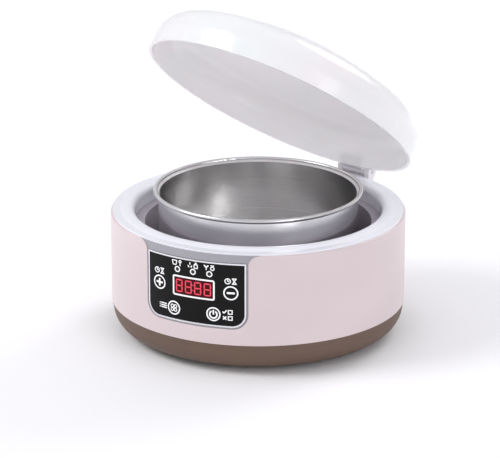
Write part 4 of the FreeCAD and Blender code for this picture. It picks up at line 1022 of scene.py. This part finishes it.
def soft_box(name, place, size, power):
    """A large soft light that looks at the object."""
    turn = (Vector(LIT_POINT) - Vector(place)).to_track_quat("-Z", "Y").to_euler()
    bpy.ops.object.light_add(type="AREA", location=place, rotation=turn)
    light = bpy.context.object
    light.name = name
    light.data.shape = "DISK"
    light.data.size = size
    light.data.energy = power


def pale_floor(colour):
    """A plain pale floor with the slightest unevenness."""
    finish = new_finish("pale_floor", colour, 0.7, settings={"Specular IOR Level": 0.2})
    patches = cloudy(finish, where(finish), 1.5, 2.0)
    vary_colour(finish, patches, shade(colour, 0.99), colour)
    return finish


class YogurtMakerStage(bpy.types.Operator):
    """Makes the floor, the soft lights, the pale surroundings and the camera"""

    bl_idname = "yogurt_maker.stage"
    bl_label = "Set the Stage"

    def execute(self, context):
        studio = context.scene.yogurt_maker_studio
        start_clean()
        bpy.ops.mesh.primitive_plane_add(size=FLOOR_SIZE, location=(0, 0, 0))
        floor = bpy.context.object
        floor.name = "studio_floor"
        floor.data.materials.append(pale_floor(tuple(studio.floor)))

        world = bpy.data.worlds.new("pale_surroundings")
        world.use_nodes = True
        background = world.node_tree.nodes["Background"]
        background.inputs["Color"].default_value = SURROUNDINGS
        background.inputs["Strength"].default_value = SURROUNDINGS_STRENGTH
        context.scene.world = world
        context.scene.view_settings.view_transform = "Standard"

        for name, place, size, power in SOFT_BOXES:
            soft_box(name, place, size, power * studio.lights)

        base = Vector((0, 0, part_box("outer_shell")[0].z))
        back = Vector((math.cos(studio.height) * math.sin(studio.turn),
                       -math.cos(studio.height) * math.cos(studio.turn), math.sin(studio.height)))
        right = Vector((math.cos(studio.turn), math.sin(studio.turn), 0))
        up = back.cross(right)
        eye = base + back * studio.distance
        aim = base - right * studio.aim_left + up * studio.aim_up
        turn = (aim - eye).to_track_quat("-Z", "Y").to_euler()
        bpy.ops.object.camera_add(location=eye, rotation=turn)
        camera = context.object
        camera.name = "product_camera"
        camera.data.lens = studio.lens
        camera.data.sensor_width = 36.0
        camera.data.clip_end = 50.0
        context.scene.camera = camera
        return {"FINISHED"}


# ---------------------------------------------------------------- panel in the sidebar


class YogurtMakerPanel(bpy.types.Panel):
    """The yogurt maker's sizes, colours and steps"""

    bl_idname = "VIEW3D_PT_yogurt_maker"
    bl_label = "Yogurt Maker"
    bl_space_type = "VIEW_3D"
    bl_region_type = "UI"
    bl_category = "Yogurt Maker"

    def draw(self, context):
        scene, layout = context.scene, self.layout
        for step in STEPS:
            layout.operator(step.bl_idname)
        groups = (("Sizes", scene.yogurt_maker_sizes), ("Colours", scene.yogurt_maker_colours),
                  ("Studio", scene.yogurt_maker_studio))
        for title, group in groups:
            box = layout.box()
            box.label(text=title)
            for name in group.__annotations__:
                box.prop(group, name)


STEPS = (YogurtMakerStage, YogurtMakerHousing, YogurtMakerBowl, YogurtMakerLid,
         YogurtMakerPanelFinish, YogurtMakerInside, YogurtMakerDigits, YogurtMakerDisplayFrame,
         YogurtMakerKeySigns, YogurtMakerIndicatorRings, YogurtMakerPictograms)
GROUPS = (YogurtMakerPrintSizes, YogurtMakerColours, YogurtMakerStudio)


def register():
    """Registers the classes and hangs the sizes, colours and studio on the scene."""
    for each in GROUPS + STEPS + (YogurtMakerPanel,):
        bpy.utils.register_class(each)
    bpy.types.Scene.yogurt_maker_sizes = PointerProperty(type=YogurtMakerPrintSizes)
    bpy.types.Scene.yogurt_maker_colours = PointerProperty(type=YogurtMakerColours)
    bpy.types.Scene.yogurt_maker_studio = PointerProperty(type=YogurtMakerStudio)


def unregister():
    """Takes them away again, in the other order."""
    del bpy.types.Scene.yogurt_maker_studio
    del bpy.types.Scene.yogurt_maker_colours
    del bpy.types.Scene.yogurt_maker_sizes
    for each in reversed(GROUPS + STEPS + (YogurtMakerPanel,)):
        bpy.utils.unregister_class(each)


def main():
    """Runs the steps in order."""
    register()
    bpy.ops.yogurt_maker.stage()
    bpy.ops.yogurt_maker.housing()
    bpy.ops.yogurt_maker.bowl()
    bpy.ops.yogurt_maker.lid()
    bpy.ops.yogurt_maker.panel_finish()
    bpy.ops.yogurt_maker.inside()
    bpy.ops.yogurt_maker.digits()
    bpy.ops.yogurt_maker.display_frame()
    bpy.ops.yogurt_maker.key_signs()
    bpy.ops.yogurt_maker.indicator_rings()
    bpy.ops.yogurt_maker.pictograms()


if __name__ == "__main__":
    main()
